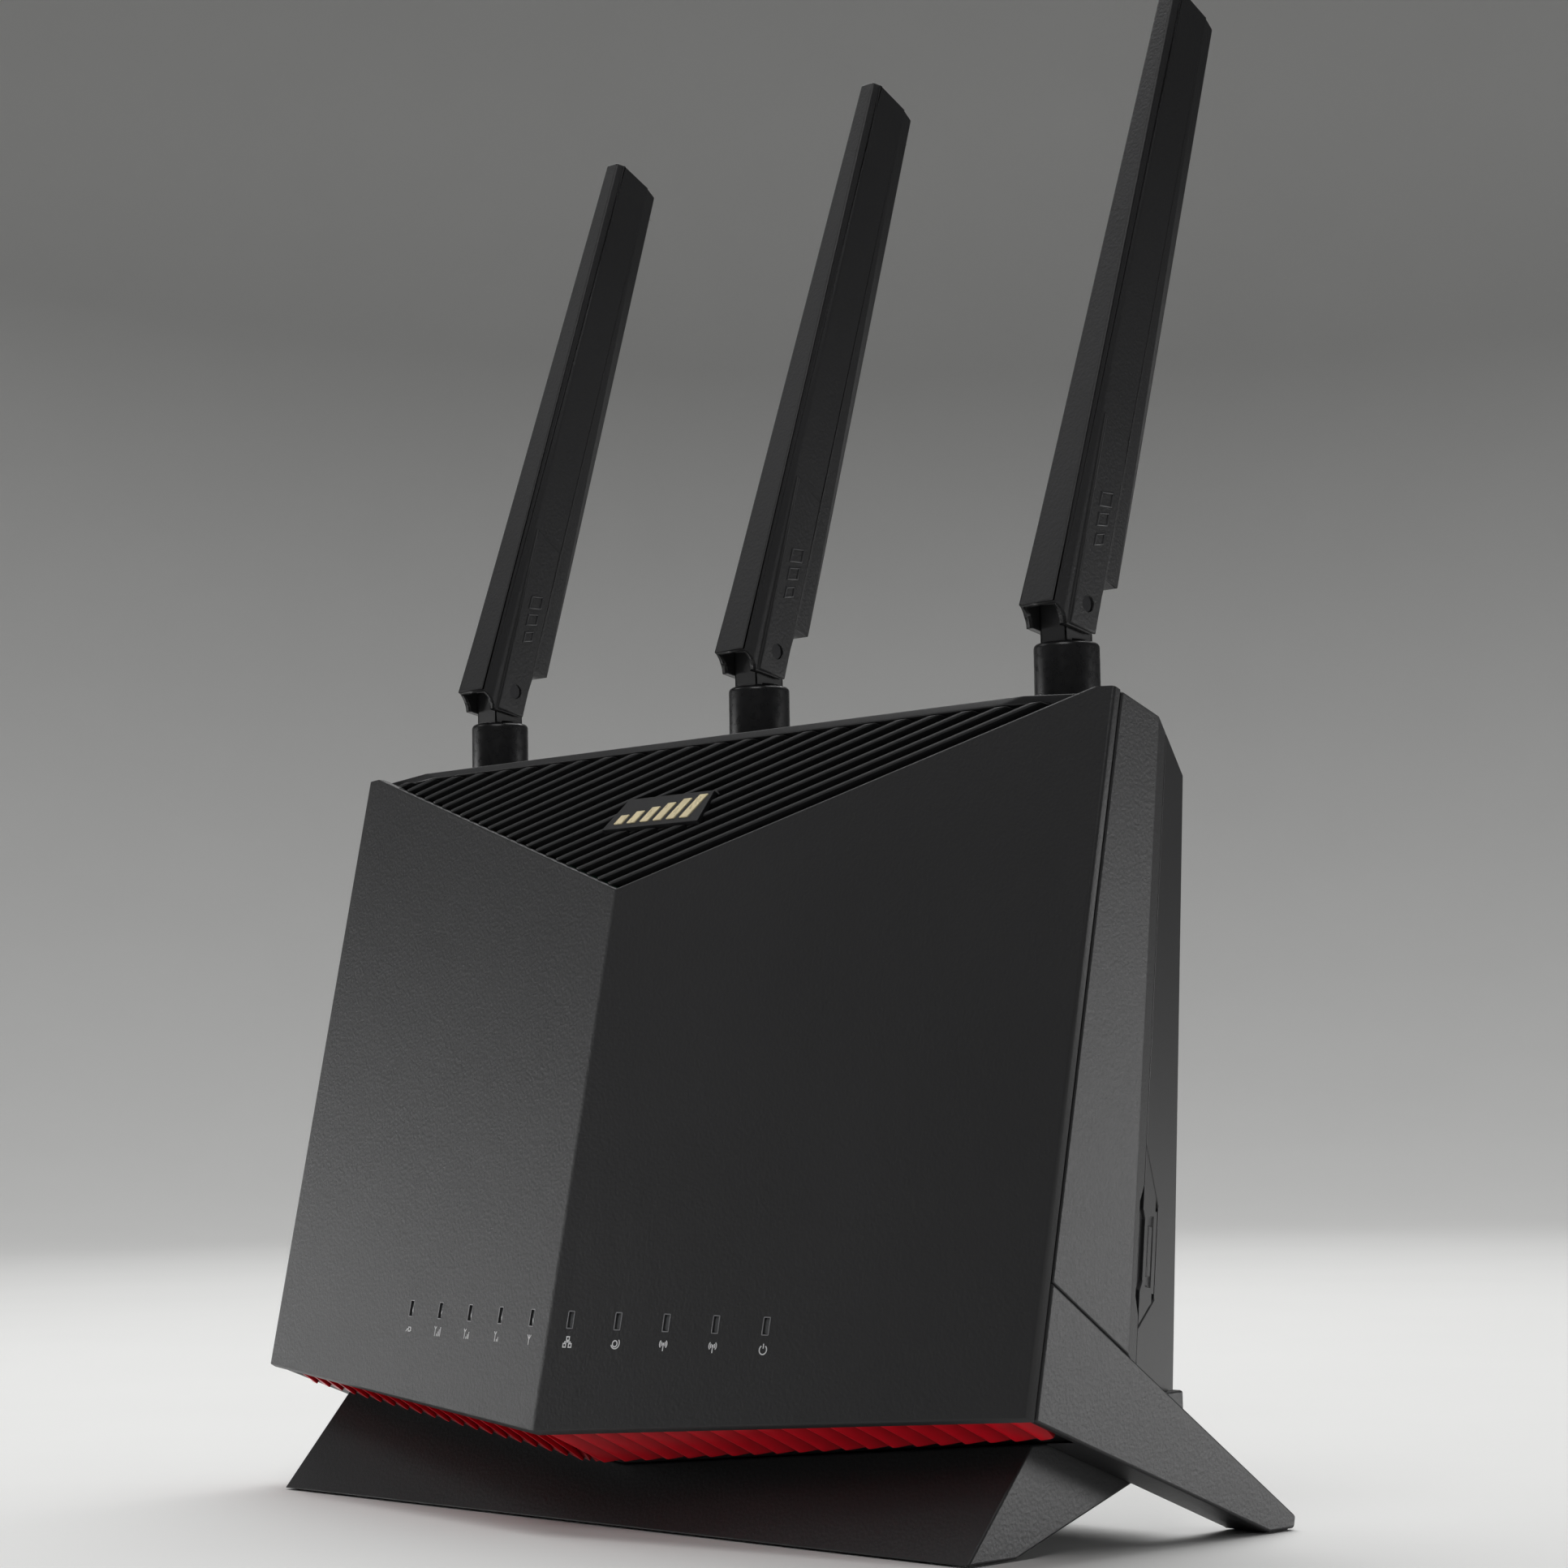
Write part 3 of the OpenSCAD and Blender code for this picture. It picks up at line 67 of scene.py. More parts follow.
def addCamera():
    a, p, r = (radians(studio[k]) for k in ("cameraHeading", "cameraPitch", "cameraRoll"))
    forward = Vector((-sin(a) * cos(p), cos(a) * cos(p), sin(p)))
    level = Vector((cos(a), sin(a), 0.0))
    up = level.cross(forward)
    right = cos(r) * level + sin(r) * up
    turned = cos(r) * up - sin(r) * level
    camera = bpy.data.objects.new("camera", bpy.data.cameras.new("camera"))
    bpy.context.scene.collection.objects.link(camera)
    basis = Matrix((right, turned, -forward)).transposed().to_4x4()
    camera.matrix_world = Matrix.Translation(studio["cameraPlace"]) @ basis
    camera.data.lens = studio["lens"]
    camera.data.sensor_width = studio["sensor"]
    camera.data.clip_start = 0.01
    bpy.context.scene.camera = camera


def gridFaces(rows, columns, closed=False):
    # quads between neighbouring points of a grid; closed joins the last column to the first
    r, c = np.meshgrid(np.arange(rows - 1), np.arange(columns - (0 if closed else 1)), indexing="ij")
    nextC = (c + 1) % columns
    quads = [r * columns + c, r * columns + nextC, (r + 1) * columns + nextC, (r + 1) * columns + c]
    return np.stack(quads, axis=-1).reshape(-1, 4)


def newMesh(name, points, faces):
    mesh = bpy.data.meshes.new(name)
    corners = [list(map(int, face)) for face in faces]
    mesh.from_pydata(np.asarray(points, float).reshape(-1, 3).tolist(), [], corners)
    mesh.update()
    thing = bpy.data.objects.new(name, mesh)
    bpy.context.scene.collection.objects.link(thing)
    return thing


def addFloor(material):
    # height over the distance s from the middle: flat, then a quarter circle; behind the object it
    # goes on up as a backdrop, and elsewhere it fades into a flat floor by cos^2 of the angle
    flat, rise, turns = studio["floorFlat"], studio["floorRise"], 120
    bend = np.linspace(0, np.pi / 2, 24)[1:]
    level = np.linspace(0.1, flat, 8)
    distance = np.concatenate([[0.001], level, flat + rise * np.sin(bend), [flat + rise]])
    height = np.concatenate([np.zeros(9), rise * (1 - np.cos(bend)), [studio["floorHeight"]]])
    turn = np.linspace(0, 2 * np.pi, turns, endpoint=False)
    behind = radians(studio["cameraHeading"]) + np.pi / 2
    away = np.abs((turn - behind + np.pi) % (2 * np.pi) - np.pi)
    fade = (away - radians(studio["backdropHalfAngle"])) / radians(studio["backdropFade"])
    lift = np.cos(fade.clip(0, 1) * np.pi / 2) ** 2
    stretch = studio["floorStretch"] * (1 - lift)
    reach = distance[:, None] * (1 + stretch[None, :] * (height[:, None] > 0))
    points = np.stack([reach * np.cos(turn), reach * np.sin(turn), height[:, None] * lift], axis=-1)
    floor = newMesh("studioFloor", points, gridFaces(len(distance), turns, closed=True))
    for face in floor.data.polygons:
        face.use_smooth = True
    floor.data.materials.append(material)


lamps = {  # place, aim, width and height, power in watts, and how wide the light fans out
    "leftBox": {
        "place": (-1.15, -0.46, 0.15), "aim": (0, 0, 0.13), "size": (0.6, 0.2), "power": 0.47, "fan": 80,
    },
    "rightBox": {
        "place": (0.85, 0.78, 0.06), "aim": (0.12, 0, -0.07), "size": (0.5, 0.1), "power": 0.34, "fan": 44,
    },
    "topBox": {
        "place": (-0.45, 0.55, 1.7), "aim": (0, 0, 0.1), "size": (1.8, 1.6), "power": 34.0, "fan": 180,
    },
    "bladeBox": {
        "place": (-0.95, -0.57, 1.0), "aim": (0, 0, 0.26), "size": (0.5, 0.35), "power": 0.35, "fan": 120,
    },
    "frontBox": {
        "place": (0.55, -0.9, 1.4), "aim": (0, 0, 0.1), "size": (0.8, 0.8), "power": 6.0, "fan": 180,
    },
}


def addLamps():
    for name, lamp in lamps.items():
        light = bpy.data.lights.new(name, "AREA")
        light.shape = "RECTANGLE"
        light.size, light.size_y = lamp["size"]
        light.energy = lamp["power"]
        light.spread = radians(lamp["fan"])
        holder = bpy.data.objects.new(name, light)
        bpy.context.scene.collection.objects.link(holder)
        holder.location = lamp["place"]
        direction = Vector(lamp["aim"]) - holder.location
        holder.rotation_euler = direction.to_track_quat("-Z", "Y").to_euler()
    world = bpy.data.worlds.new("studioAir")
    world.use_nodes = True
    air = world.node_tree.nodes["Background"]
    air.inputs["Color"].default_value = (1, 1, 1, 1)
    air.inputs["Strength"].default_value = studio["worldStrength"]
    bpy.context.scene.world = world
    bpy.context.scene.view_settings.view_transform = "Standard"


# materials: every pattern reads Object coordinates, in metres, unless its own note says otherwise
class Finish:
    # a material with its shader and short ways to add nodes
    def __init__(self, name, colour, roughness, metallic=0.0):
        self.material = bpy.data.materials.new(name)
        self.material.use_nodes = True
        self.tree = self.material.node_tree
        self.shader = self.tree.nodes["Principled BSDF"]
        self.where = self.tree.nodes.new("ShaderNodeTexCoord").outputs["Object"]
        self.shader.inputs["Base Color"].default_value = (*colour, 1)
        self.shader.inputs["Roughness"].default_value = roughness
        self.shader.inputs["Metallic"].default_value = metallic
        self.colour = colour
        self.roughness = roughness

    def node(self, kind, settings=None, **inputs):
        made = self.tree.nodes.new("ShaderNode" + kind)
        for key, value in (settings or {}).items():
            setattr(made, key, value)
        for key, value in inputs.items():
            socket = made.inputs[key]
            if isinstance(value, bpy.types.NodeSocket):
                self.tree.links.new(value, socket)
            else:
                socket.default_value = value
        return made

    def noise(self, scale, detail=3.0, where=None):
        made = self.node("TexNoise", Scale=scale, Detail=detail, Vector=where or self.where)
        return made.outputs["Fac"]

    def cells(self, scale, where=None):
        made = self.node("TexVoronoi", {"feature": "SMOOTH_F1"}, Scale=scale, Vector=where or self.where)
        return made.outputs["Distance"]

    def stretched(self, x, y, z):
        return self.node("Mapping", Vector=self.where, Scale=(x, y, z)).outputs["Vector"]

    def between(self, value, low, high, start=0.0, end=1.0):
        made = self.node("MapRange", Value=value)
        made.inputs["From Min"].default_value = low
        made.inputs["From Max"].default_value = high
        made.inputs["To Min"].default_value = start
        made.inputs["To Max"].default_value = end
        return made.outputs["Result"]

    def sums(self, a, b, way="ADD"):
        made = self.node("Math", {"operation": way})
        for socket, value in zip(made.inputs, (a, b)):
            if isinstance(value, bpy.types.NodeSocket):
                self.tree.links.new(value, socket)
            else:
                socket.default_value = value
        return made.outputs[0]

    def shade(self, value, start, end):
        # the base colour runs from start to end times itself as the value goes from 0 to 1
        made = self.node("Mix", {"data_type": "RGBA"})
        self.tree.links.new(value, made.inputs["Factor"])
        made.inputs[6].default_value = (*[c * start for c in self.colour], 1)
        made.inputs[7].default_value = (*[c * end for c in self.colour], 1)
        self.tree.links.new(made.outputs[2], self.shader.inputs["Base Color"])

    def gloss(self, value, spread):
        low, high = self.roughness - spread, self.roughness + spread
        self.tree.links.new(self.between(value, 0, 1, low, high), self.shader.inputs["Roughness"])

    def relief(self, height, depth, strength=1.0):
        made = self.node("Bump", Height=height, Distance=depth, Strength=strength)
        self.tree.links.new(made.outputs["Normal"], self.shader.inputs["Normal"])


def grainedPlastic(name, colour, roughness, cell=0.55, depth=0.03):
    # leather-like moulded grain: soft cells of the given size in mm, broken up by finer noise
    f = Finish(name, colour, roughness)
    drift = f.node("VectorMath", {"operation": "ADD"})
    f.tree.links.new(f.where, drift.inputs[0])
    wobble = f.node("TexNoise", Scale=1 / (cell * 2.2 * mm), Detail=2.0, Vector=f.where)
    small = f.node("VectorMath", {"operation": "SCALE"}, Scale=cell * 0.9 * mm)
    f.tree.links.new(wobble.outputs["Color"], small.inputs[0])
    f.tree.links.new(small.outputs[0], drift.inputs[1])
    cells = f.cells(1 / (cell * mm), drift.outputs[0])
    fine = f.noise(1 / (cell * 0.22 * mm), 2.0)
    height = f.sums(f.between(cells, 0.0, 0.9), f.between(fine, 0.3, 0.7, 0.0, 0.35))
    f.relief(height, depth * mm, 0.8)
    cloud = f.noise(24.0, 4.0)
    tone = f.sums(f.between(cloud, 0.3, 0.7, 0.0, 0.5), f.between(fine, 0.3, 0.7, 0.0, 0.5))
    f.shade(tone, 0.86, 1.16)
    f.gloss(f.between(fine, 0.35, 0.65), 0.07)
    f.shader.inputs["Specular IOR Level"].default_value = 0.42
    return f.material


def smoothPlastic(name, colour, roughness, depth=0.006, coat=0.0):
    # polished moulding with a faint orange-peel and dust-fine specks
    f = Finish(name, colour, roughness)
    peel = f.noise(650.0, 2.0)
    speck = f.noise(5200.0, 1.0)
    f.relief(f.sums(peel, f.between(speck, 0.3, 0.7, 0.0, 0.3)), depth * mm)
    f.shade(f.between(f.noise(45.0, 4.0), 0.3, 0.7), 0.9, 1.1)
    f.gloss(f.between(peel, 0.35, 0.65), 0.04)
    f.shader.inputs["Coat Weight"].default_value = coat
    return f.material


def ribbedPlastic(name, colour, roughness, depth=0.006):
    # polished ribs with painted shade: the colour is painted bright on the crest and dark in the groove, by
    # the groove value the mesh carries, with a little random tone
    f = Finish(name, colour, roughness)
    groove = f.node("Attribute", {"attribute_name": "groove"}).outputs["Fac"]
    grooveShadeAndTone = f.sums(f.between(f.noise(300.0, 3.0), 0.3, 0.7, -0.06, 0.06), groove)
    # painted shade: the base colour falls from 1.25 to 0.16 times itself from crest to groove
    f.shade(grooveShadeAndTone, 1.25, 0.16)
    f.relief(f.noise(650.0, 2.0), depth * mm)
    return f.material


def sheetMetal(name, colour, roughness, along=(1, 60, 60), depth=0.004):
    # brushed or rolled metal: noise drawn out along one axis, with faint stains
    f = Finish(name, colour, roughness, 1.0)
    lines = f.noise(90.0, 4.0, f.stretched(*along))
    f.relief(lines, depth * mm)
    f.shade(f.between(f.noise(70.0, 4.0), 0.3, 0.7), 0.82, 1.05)
    f.gloss(f.between(lines, 0.3, 0.7), 0.08)
    return f.material


def circuitBoard(name, colour):
    # solder resist over copper: fine straight tracks from two crossed waves, kept apart by noise
    f = Finish(name, colour, 0.38)
    across = f.node("TexWave", {"bands_direction": "X"}, Scale=180.0, Distortion=1.0, Vector=f.where)
    upright = f.node("TexWave", {"bands_direction": "Z"}, Scale=180.0, Distortion=1.0, Vector=f.where)
    patch = f.between(f.noise(60.0, 2.0), 0.46, 0.54)
    tracks = f.sums(f.sums(across.outputs["Fac"], patch, "MULTIPLY"), upright.outputs["Fac"], "MAXIMUM")
    f.shade(f.between(tracks, 0.55, 0.8), 0.75, 1.7)
    f.relief(tracks, 0.02 * mm)
    return f.material


def softRubber(name, colour, roughness=0.8):
    # matt and gritty, with slow changes of tone
    f = Finish(name, colour, roughness)
    grit = f.noise(2600.0, 3.0)
    f.relief(grit, 0.03 * mm)
    f.shade(f.between(f.noise(120.0, 4.0), 0.3, 0.7), 0.8, 1.25)
    f.gloss(f.between(grit, 0.3, 0.7), 0.08)
    return f.material


def clearPlastic(name, colour, roughness, through):
    # lets part of the light through, with faint flow lines
    f = Finish(name, colour, roughness)
    flow = f.noise(900.0, 2.0)
    f.relief(flow, 0.003 * mm)
    f.shade(f.between(flow, 0.3, 0.7), 0.9, 1.1)
    f.shader.inputs["Transmission Weight"].default_value = through
    f.shader.inputs["IOR"].default_value = 1.49
    return f.material


def goldFoil(name, colour):
    # satin foil: fine upright brushing and a slow change of tone
    f = Finish(name, colour, 0.3, 0.25)
    brush = f.noise(700.0, 3.0, f.stretched(1.0, 1.0, 0.06))
    f.relief(brush, 0.004 * mm)
    f.shade(f.between(f.noise(260.0, 3.0), 0.3, 0.7), 0.85, 1.08)
    f.gloss(f.between(brush, 0.3, 0.7), 0.07)
    return f.material


def floorPaint(name):
    # even matt paint with the faintest mottling
    f = Finish(name, studio["floorColour"], 0.75)
    mottle = f.noise(9.0, 5.0)
    f.shade(f.between(mottle, 0.3, 0.7), 0.992, 1.008)
    f.relief(f.noise(420.0, 3.0), 0.05 * mm)
    return f.material


finishes = {
    "grained_black": grainedPlastic("grainedBlack", (0.021, 0.021, 0.022), 0.45, cell=0.7, depth=0.055),
    "satin_black": grainedPlastic("satinBlack", (0.012, 0.012, 0.013), 0.42, cell=0.3, depth=0.012),
    "band_red": ribbedPlastic("bandRed", (0.62, 0.004, 0.014), 0.3),
    "badge_gold": goldFoil("badgeGold", (0.95, 0.82, 0.52)),
    "pad_rubber": softRubber("padRubber", (0.02, 0.02, 0.02)),
    "socket_shield": sheetMetal("socketShield", (0.62, 0.62, 0.63), 0.34),
    "circuit_board": circuitBoard("circuitBoard", (0.012, 0.085, 0.045)),
    "chip_black": smoothPlastic("chipBlack", (0.02, 0.02, 0.02), 0.55, depth=0.02),
    "thermal_pad": softRubber("thermalPad", (0.35, 0.42, 0.46), 0.7),
    "sink_aluminium": sheetMetal("sinkAluminium", (0.8, 0.8, 0.81), 0.4, along=(60, 60, 1)),
    "lead_jacket": softRubber("leadJacket", (0.015, 0.015, 0.015), 0.5),
    "led_lens": clearPlastic("ledLens", (0.85, 0.82, 0.6), 0.2, 0.3),
    "light_guide": clearPlastic("lightGuide", (0.16, 0.165, 0.17), 0.12, 0.35),
    "ribbon_grey": smoothPlastic("ribbonGrey", (0.42, 0.42, 0.4), 0.5),
    "jack_black": smoothPlastic("jackBlack", (0.014, 0.014, 0.014), 0.4),
    "button_black": smoothPlastic("buttonBlack", (0.016, 0.016, 0.017), 0.28, coat=0.2),
    "button_red": smoothPlastic("buttonRed", (0.42, 0.008, 0.012), 0.3),
    "screw_steel": sheetMetal("screwSteel", (0.4, 0.4, 0.42), 0.35),
    "pin_black": sheetMetal("pinBlack", (0.05, 0.05, 0.052), 0.35),
    "socket_brass": sheetMetal("socketBrass", (0.8, 0.62, 0.3), 0.28, along=(1, 1, 60)),
}
slotOf = {part["node"]: part["material_slot"] for part in frame["record"]["subparts"]}
bodyOf = {node: body for body, nodes in frame["record"]["behaviour"]["bodies"].items() for node in nodes}
for nodeName, thing in frame["nodes"].items():
    for slotIndex in range(len(thing.material_slots)):
        thing.material_slots[slotIndex].material = finishes[slotOf[nodeName]]
print("materials made:", len(finishes))


def smoothByAngle(mesh, limit):
    # shade smooth, with the edges sharper than the limit kept crisp
    bm = bmesh.new()
    bm.from_mesh(mesh)
    for face in bm.faces:
        face.smooth = True
    for edge in bm.edges:
        edge.smooth = len(edge.link_faces) == 2 and edge.calc_face_angle(0) < radians(limit)
    bm.to_mesh(mesh)
    bm.free()


def softened(nodeName, width, shortest, segments=3, corner=11.0):
    # a copy of a CAD node whose edges are rounded by width, in mm, where they turn by more than
    # corner degrees and are longer than shortest times the width
    source = frame["nodes"][nodeName].data
    bm = bmesh.new()
    bm.from_mesh(source)
    bmesh.ops.remove_doubles(bm, verts=bm.verts, dist=2e-6)
    bmesh.ops.dissolve_limit(bm, angle_limit=radians(0.4), verts=bm.verts, edges=bm.edges)
    weight = bm.edges.layers.float.new("bevel_weight_edge")
    for edge in bm.edges:
        sharp = len(edge.link_faces) == 2 and edge.calc_face_angle(0) > radians(corner)
        roomy = edge.calc_length() > shortest * width * mm
        edge[weight] = 1.0 if sharp and roomy else 0.0
    mesh = bpy.data.meshes.new(nodeName + "Soft")
    bm.to_mesh(mesh)
    bm.free()
    thing = bpy.data.objects.new(nodeName + "Soft", mesh)
    bpy.context.scene.collection.objects.link(thing)
    bevel = thing.modifiers.new("roundedEdges", "BEVEL")
    bevel.limit_method = "WEIGHT"
    bevel.width = width * mm
    bevel.segments = segments
    bevel.use_clamp_overlap = False
    smoothByAngle(thing.data, 180)
    level = thing.modifiers.new("flatFaces", "WEIGHTED_NORMAL")
    level.weight = 100
    level.thresh = 0.1
    shaped = bpy.data.meshes.new_from_object(thing.evaluated_get(bpy.context.evaluated_depsgraph_get()))
    thing.modifiers.clear()
    thing.data = shaped
    thing.data.materials.clear()
    thing.data.materials.append(finishes[slotOf[nodeName]])
    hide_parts(nodeName)
    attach(thing, bodyOf[nodeName])
    return thing


roundings = {  # how far each visible piece's edges are rounded, in mm
    "front_cover": 0.6, "side_panel_left": 0.4, "side_panel_right": 0.4, "leg_left": 0.6,
    "leg_right": 0.6, "base_stand": 0.6, "top_grille": 0.3, "badge_plate": 0.2,
    "badge_mark": 0.12, "rear_cover": 0.35, "sim_door": 0.2, "rubber_feet": 0.25,
    "housing_screws": 0.15, "power_button": 0.25,
}
crispUnder = {"front_cover": 9.0}  # edges under this many widths stay sharp: the light windows'
crispOtherwise = 3.0
for side in ("left", "middle", "right"):
    roundings["blade_" + side] = 0.45
    roundings["blade_cover_" + side] = 0.3
    roundings["knuckle_" + side] = 0.3
for nodeName, width in roundings.items():
    softened(nodeName, width, crispUnder.get(nodeName, crispOtherwise))
print("edges rounded on", len(roundings), "pieces")


# new surfaces, computed with the housing's own sizes, in mm
housing = {
    "halfWidth": 121.0, "topZ": 171.4, "cornerForward": 31.0, "cornerZ": 28.5,
    "grilleForward": 26.0, "grilleZ": 135.4, "ridgeZ": 20.8, "wall": 2.4, "seam": 0.2,
    "bandForward": 34.9, "bandZ": 12.1, "bandRise": 10.9, "bandDepth": 0.8, "bandThickness": 3.4,
    "middleY": 9.4893,  # how far the front's upper edge stands in front of the frame's origin
}


def unit(vector):
    return np.asarray(vector, float) / np.linalg.norm(vector)


topCorner = np.array([housing["halfWidth"], 0, housing["topZ"]])
lowCorner = np.array([housing["halfWidth"], -housing["cornerForward"], housing["cornerZ"]])
grillePoint = np.array([0, -housing["grilleForward"], housing["grilleZ"]])
facetNormal = unit(np.cross(grillePoint - topCorner, lowCorner - topCorner))


def facetPoint(x, z, proud=0.0):
    # the point of the front at x and z: y solves normal . (p - topCorner) = 0 on the right half,
    # and the left half is its mirror image
    x, z = np.asarray(x, float), np.asarray(z, float)
    y = -(facetNormal[0] * (np.abs(x) - topCorner[0]) + facetNormal[2] * (z - topCorner[2])) / facetNormal[1]
    normal = np.stack([np.sign(x) * facetNormal[0], x * 0 + facetNormal[1], x * 0 + facetNormal[2]], axis=-1)
    return np.stack([x, y, z], axis=-1) + normal * proud


def finished(name, points, faces, slotName, body, replaced=(), smooth=35, look=None, grooveShade=None):
    # makes the mesh from points in mm in the housing's own frame, and gives it finish and body
    moved = np.asarray(points, float).reshape(-1, 3) - (0, housing["middleY"], 0)
    thing = newMesh(name, moved * mm, faces)
    # values the material turns into painted shade, kept in the mesh's groove attribute
    if grooveShade is not None:
        groove = thing.data.attributes.new("groove", "FLOAT", "POINT")
        groove.data.foreach_set("value", np.asarray(grooveShade, np.float32))
    bm = bmesh.new()
    bm.from_mesh(thing.data)
    bmesh.ops.remove_doubles(bm, verts=bm.verts, dist=1e-7)
    bmesh.ops.recalc_face_normals(bm, faces=bm.faces)
    bm.to_mesh(thing.data)
    bm.free()
    smoothByAngle(thing.data, smooth)
    thing.data.materials.append(look or finishes[slotName])
    if replaced:
        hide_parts(*replaced)
    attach(thing, body)
    return thing


def joined(parts):
    # several (points, faces) pairs as one
    points, faces, start = [], [], 0
    for somePoints, someFaces in parts:
        somePoints = np.asarray(somePoints, float).reshape(-1, 3)
        points.append(somePoints)
        faces += [[int(i) + start for i in face] for face in someFaces]
        start += len(somePoints)
    return np.concatenate(points), faces


def shell(top, bottom):
    # a closed slab between two grids of the same size
    rows, columns = top.shape[:2]
    count = rows * columns
    quads = gridFaces(rows, columns)
    edge = [*range(columns)]
    edge += [r * columns + columns - 1 for r in range(1, rows)]
    edge += [(rows - 1) * columns + c for c in range(columns - 2, -1, -1)]
    edge += [r * columns for r in range(rows - 2, 0, -1)]
    walls = [(a, b, b + count, a + count) for a, b in zip(edge, edge[1:] + edge[:1])]
    points = np.concatenate([top.reshape(-1, 3), bottom.reshape(-1, 3)])
    return points, [*quads.tolist(), *(quads[:, ::-1] + count).tolist(), *walls]


def sweep(path, across, out, section, closed=False):
    # p(i, j) = path(i) + across(i) * section(j).x + out(i) * section(j).y, with flat ends
    path, across, out = (np.asarray(v, float).reshape(-1, 3) for v in (path, across, out))
    section = np.asarray(section, float)
    points = path[:, None] + across[:, None] * section[None, :, :1] + out[:, None] * section[None, :, 1:]
    rows, columns = len(path), len(section)
    faces = gridFaces(rows, columns, closed=True).tolist()
    if closed:
        last = (rows - 1) * columns
        faces += [(last + c, last + (c + 1) % columns, (c + 1) % columns, c) for c in range(columns)]
    else:
        faces += [[*range(columns)][::-1], [*range((rows - 1) * columns, rows * columns)]]
    return points.reshape(-1, 3), faces


def mitred(line, closed):
    # the side direction at each point of a flat line, longer at corners so that the width stays even
    line = np.asarray(line, float)
    step = np.diff(line, axis=0, append=line[:1])
    step /= np.maximum(np.linalg.norm(step, axis=1, keepdims=True), 1e-9)
    before, after = np.roll(step, 1, axis=0), step.copy()
    if not closed:
        before[0], after[-1] = after[0], before[-1]
    sideBefore = np.stack([before[:, 1], -before[:, 0]], axis=1)
    sideAfter = np.stack([after[:, 1], -after[:, 0]], axis=1)
    return (sideBefore + sideAfter) / (1 + np.sum(sideBefore * sideAfter, axis=1, keepdims=True)).clip(0.3)


def facetStroke(line, x, z, width, proud, closed=False, sunk=0.05, tiny=0.01):
    # a raised line with a flat crown on the front, its middle at x and z; tiny is the step, in mm,
    # that finds the direction across the line on the slanted facet
    line = np.asarray(line, float)
    side = mitred(line, closed)
    facing = np.sign(x)
    path = facetPoint(line[:, 0] + x, line[:, 1] + z)
    ahead = facetPoint(line[:, 0] + x + side[:, 0] * tiny, line[:, 1] + z + side[:, 1] * tiny)
    out = np.tile([facing * facetNormal[0], facetNormal[1], facetNormal[2]], (len(line), 1))
    w = width / 2
    section = [(-w, -sunk), (-w, proud * 0.6), (-w * 0.6, proud),
               (w * 0.6, proud), (w, proud * 0.6), (w, -sunk)]
    return sweep(path, (ahead - path) / tiny, out, section, closed)


def arc(cx, cy, r, start, end, count=14):
    # points on a circle round (cx, cy), between two angles in degrees
    a = np.radians(np.linspace(start, end, count))
    return np.stack([cx + r * np.cos(a), cy + r * np.sin(a)], axis=1)


def roundedBox(w, h, r, count=5):
    # a quarter circle at each corner, anticlockwise from the upper right one
    quarters = []
    for sx, sy, start in ((1, 1, 0), (-1, 1, 90), (-1, -1, 180), (1, -1, 270)):
        quarters.append(arc(sx * (w / 2 - r), sy * (h / 2 - r), r, start, start + 90, count))
    return np.concatenate(quarters)


lights = {
    "count": 10, "pitch": 12.78, "first": -57.97, "z": 43.75, "wide": 1.5, "high": 3.4,
    "rimWide": 0.2, "rimProud": 0.05, "rimPlay": 0.1, "rimRound": 0.15,
    "lensSunk": 0.3, "lensCrown": 0.18, "lensPlay": 0.1,
    "back": 10.55,  # how far the guides reach behind the front at the first light
}


def lightX(i):
    return lights["first"] + lights["pitch"] * i


def lightLens(i):
    # the guide's section is a superellipse |x/a|^4 + |z/b|^4 = 1; its front is a low crown that
    # stands sunk + crown s^2 behind the facet, with s the distance from the middle
    a = lights["wide"] / 2 - lights["lensPlay"]
    b = lights["high"] / 2 - lights["lensPlay"]
    turn = np.linspace(0, 2 * np.pi, 32, endpoint=False)
    ring = np.stack([a * np.sign(np.cos(turn)) * np.abs(np.cos(turn)) ** 0.5,
                     b * np.sign(np.sin(turn)) * np.abs(np.sin(turn)) ** 0.5], axis=1)
    rows = []
    for s in (0.02, 0.3, 0.55, 0.75, 0.9, 0.97, 1.0):
        row = facetPoint(lightX(i) + ring[:, 0] * s, lights["z"] + ring[:, 1] * s)
        row[:, 1] += lights["lensSunk"] + lights["lensCrown"] * s * s
        rows.append(row)
    back = rows[-1].copy()
    back[:, 1] = facetPoint(lights["first"], lights["z"])[1] + lights["back"]
    rows.append(back)
    faces = gridFaces(len(rows), len(turn), closed=True).tolist()
    faces += [[*range(len(turn))][::-1], [*range((len(rows) - 1) * len(turn), len(rows) * len(turn))]]
    return np.concatenate(rows), faces


def lightRim(i):
    wide, high = lights["wide"] + lights["rimPlay"], lights["high"] + lights["rimPlay"]
    line = roundedBox(wide, high, lights["rimRound"])
    return facetStroke(line, lightX(i), lights["z"], lights["rimWide"], lights["rimProud"], closed=True)


lensParts = [lightLens(i) for i in range(lights["count"])]
finished("lightLenses", *joined(lensParts), "light_guide", "housing", replaced=("light_guides",), smooth=50)
rimParts = [lightRim(i) for i in range(lights["count"])]
# painted highlight: the rims round the light windows are coloured light grey, though the part is black, to
# stand for the thin light edges
rimPaintedHighlight = smoothPlastic("rimPaintedHighlight", (0.22, 0.22, 0.23), 0.25)
finished("lightRims", *joined(rimParts), "button_black", "housing", look=rimPaintedHighlight)
print("lenses and rims on", lights["count"], "lights")


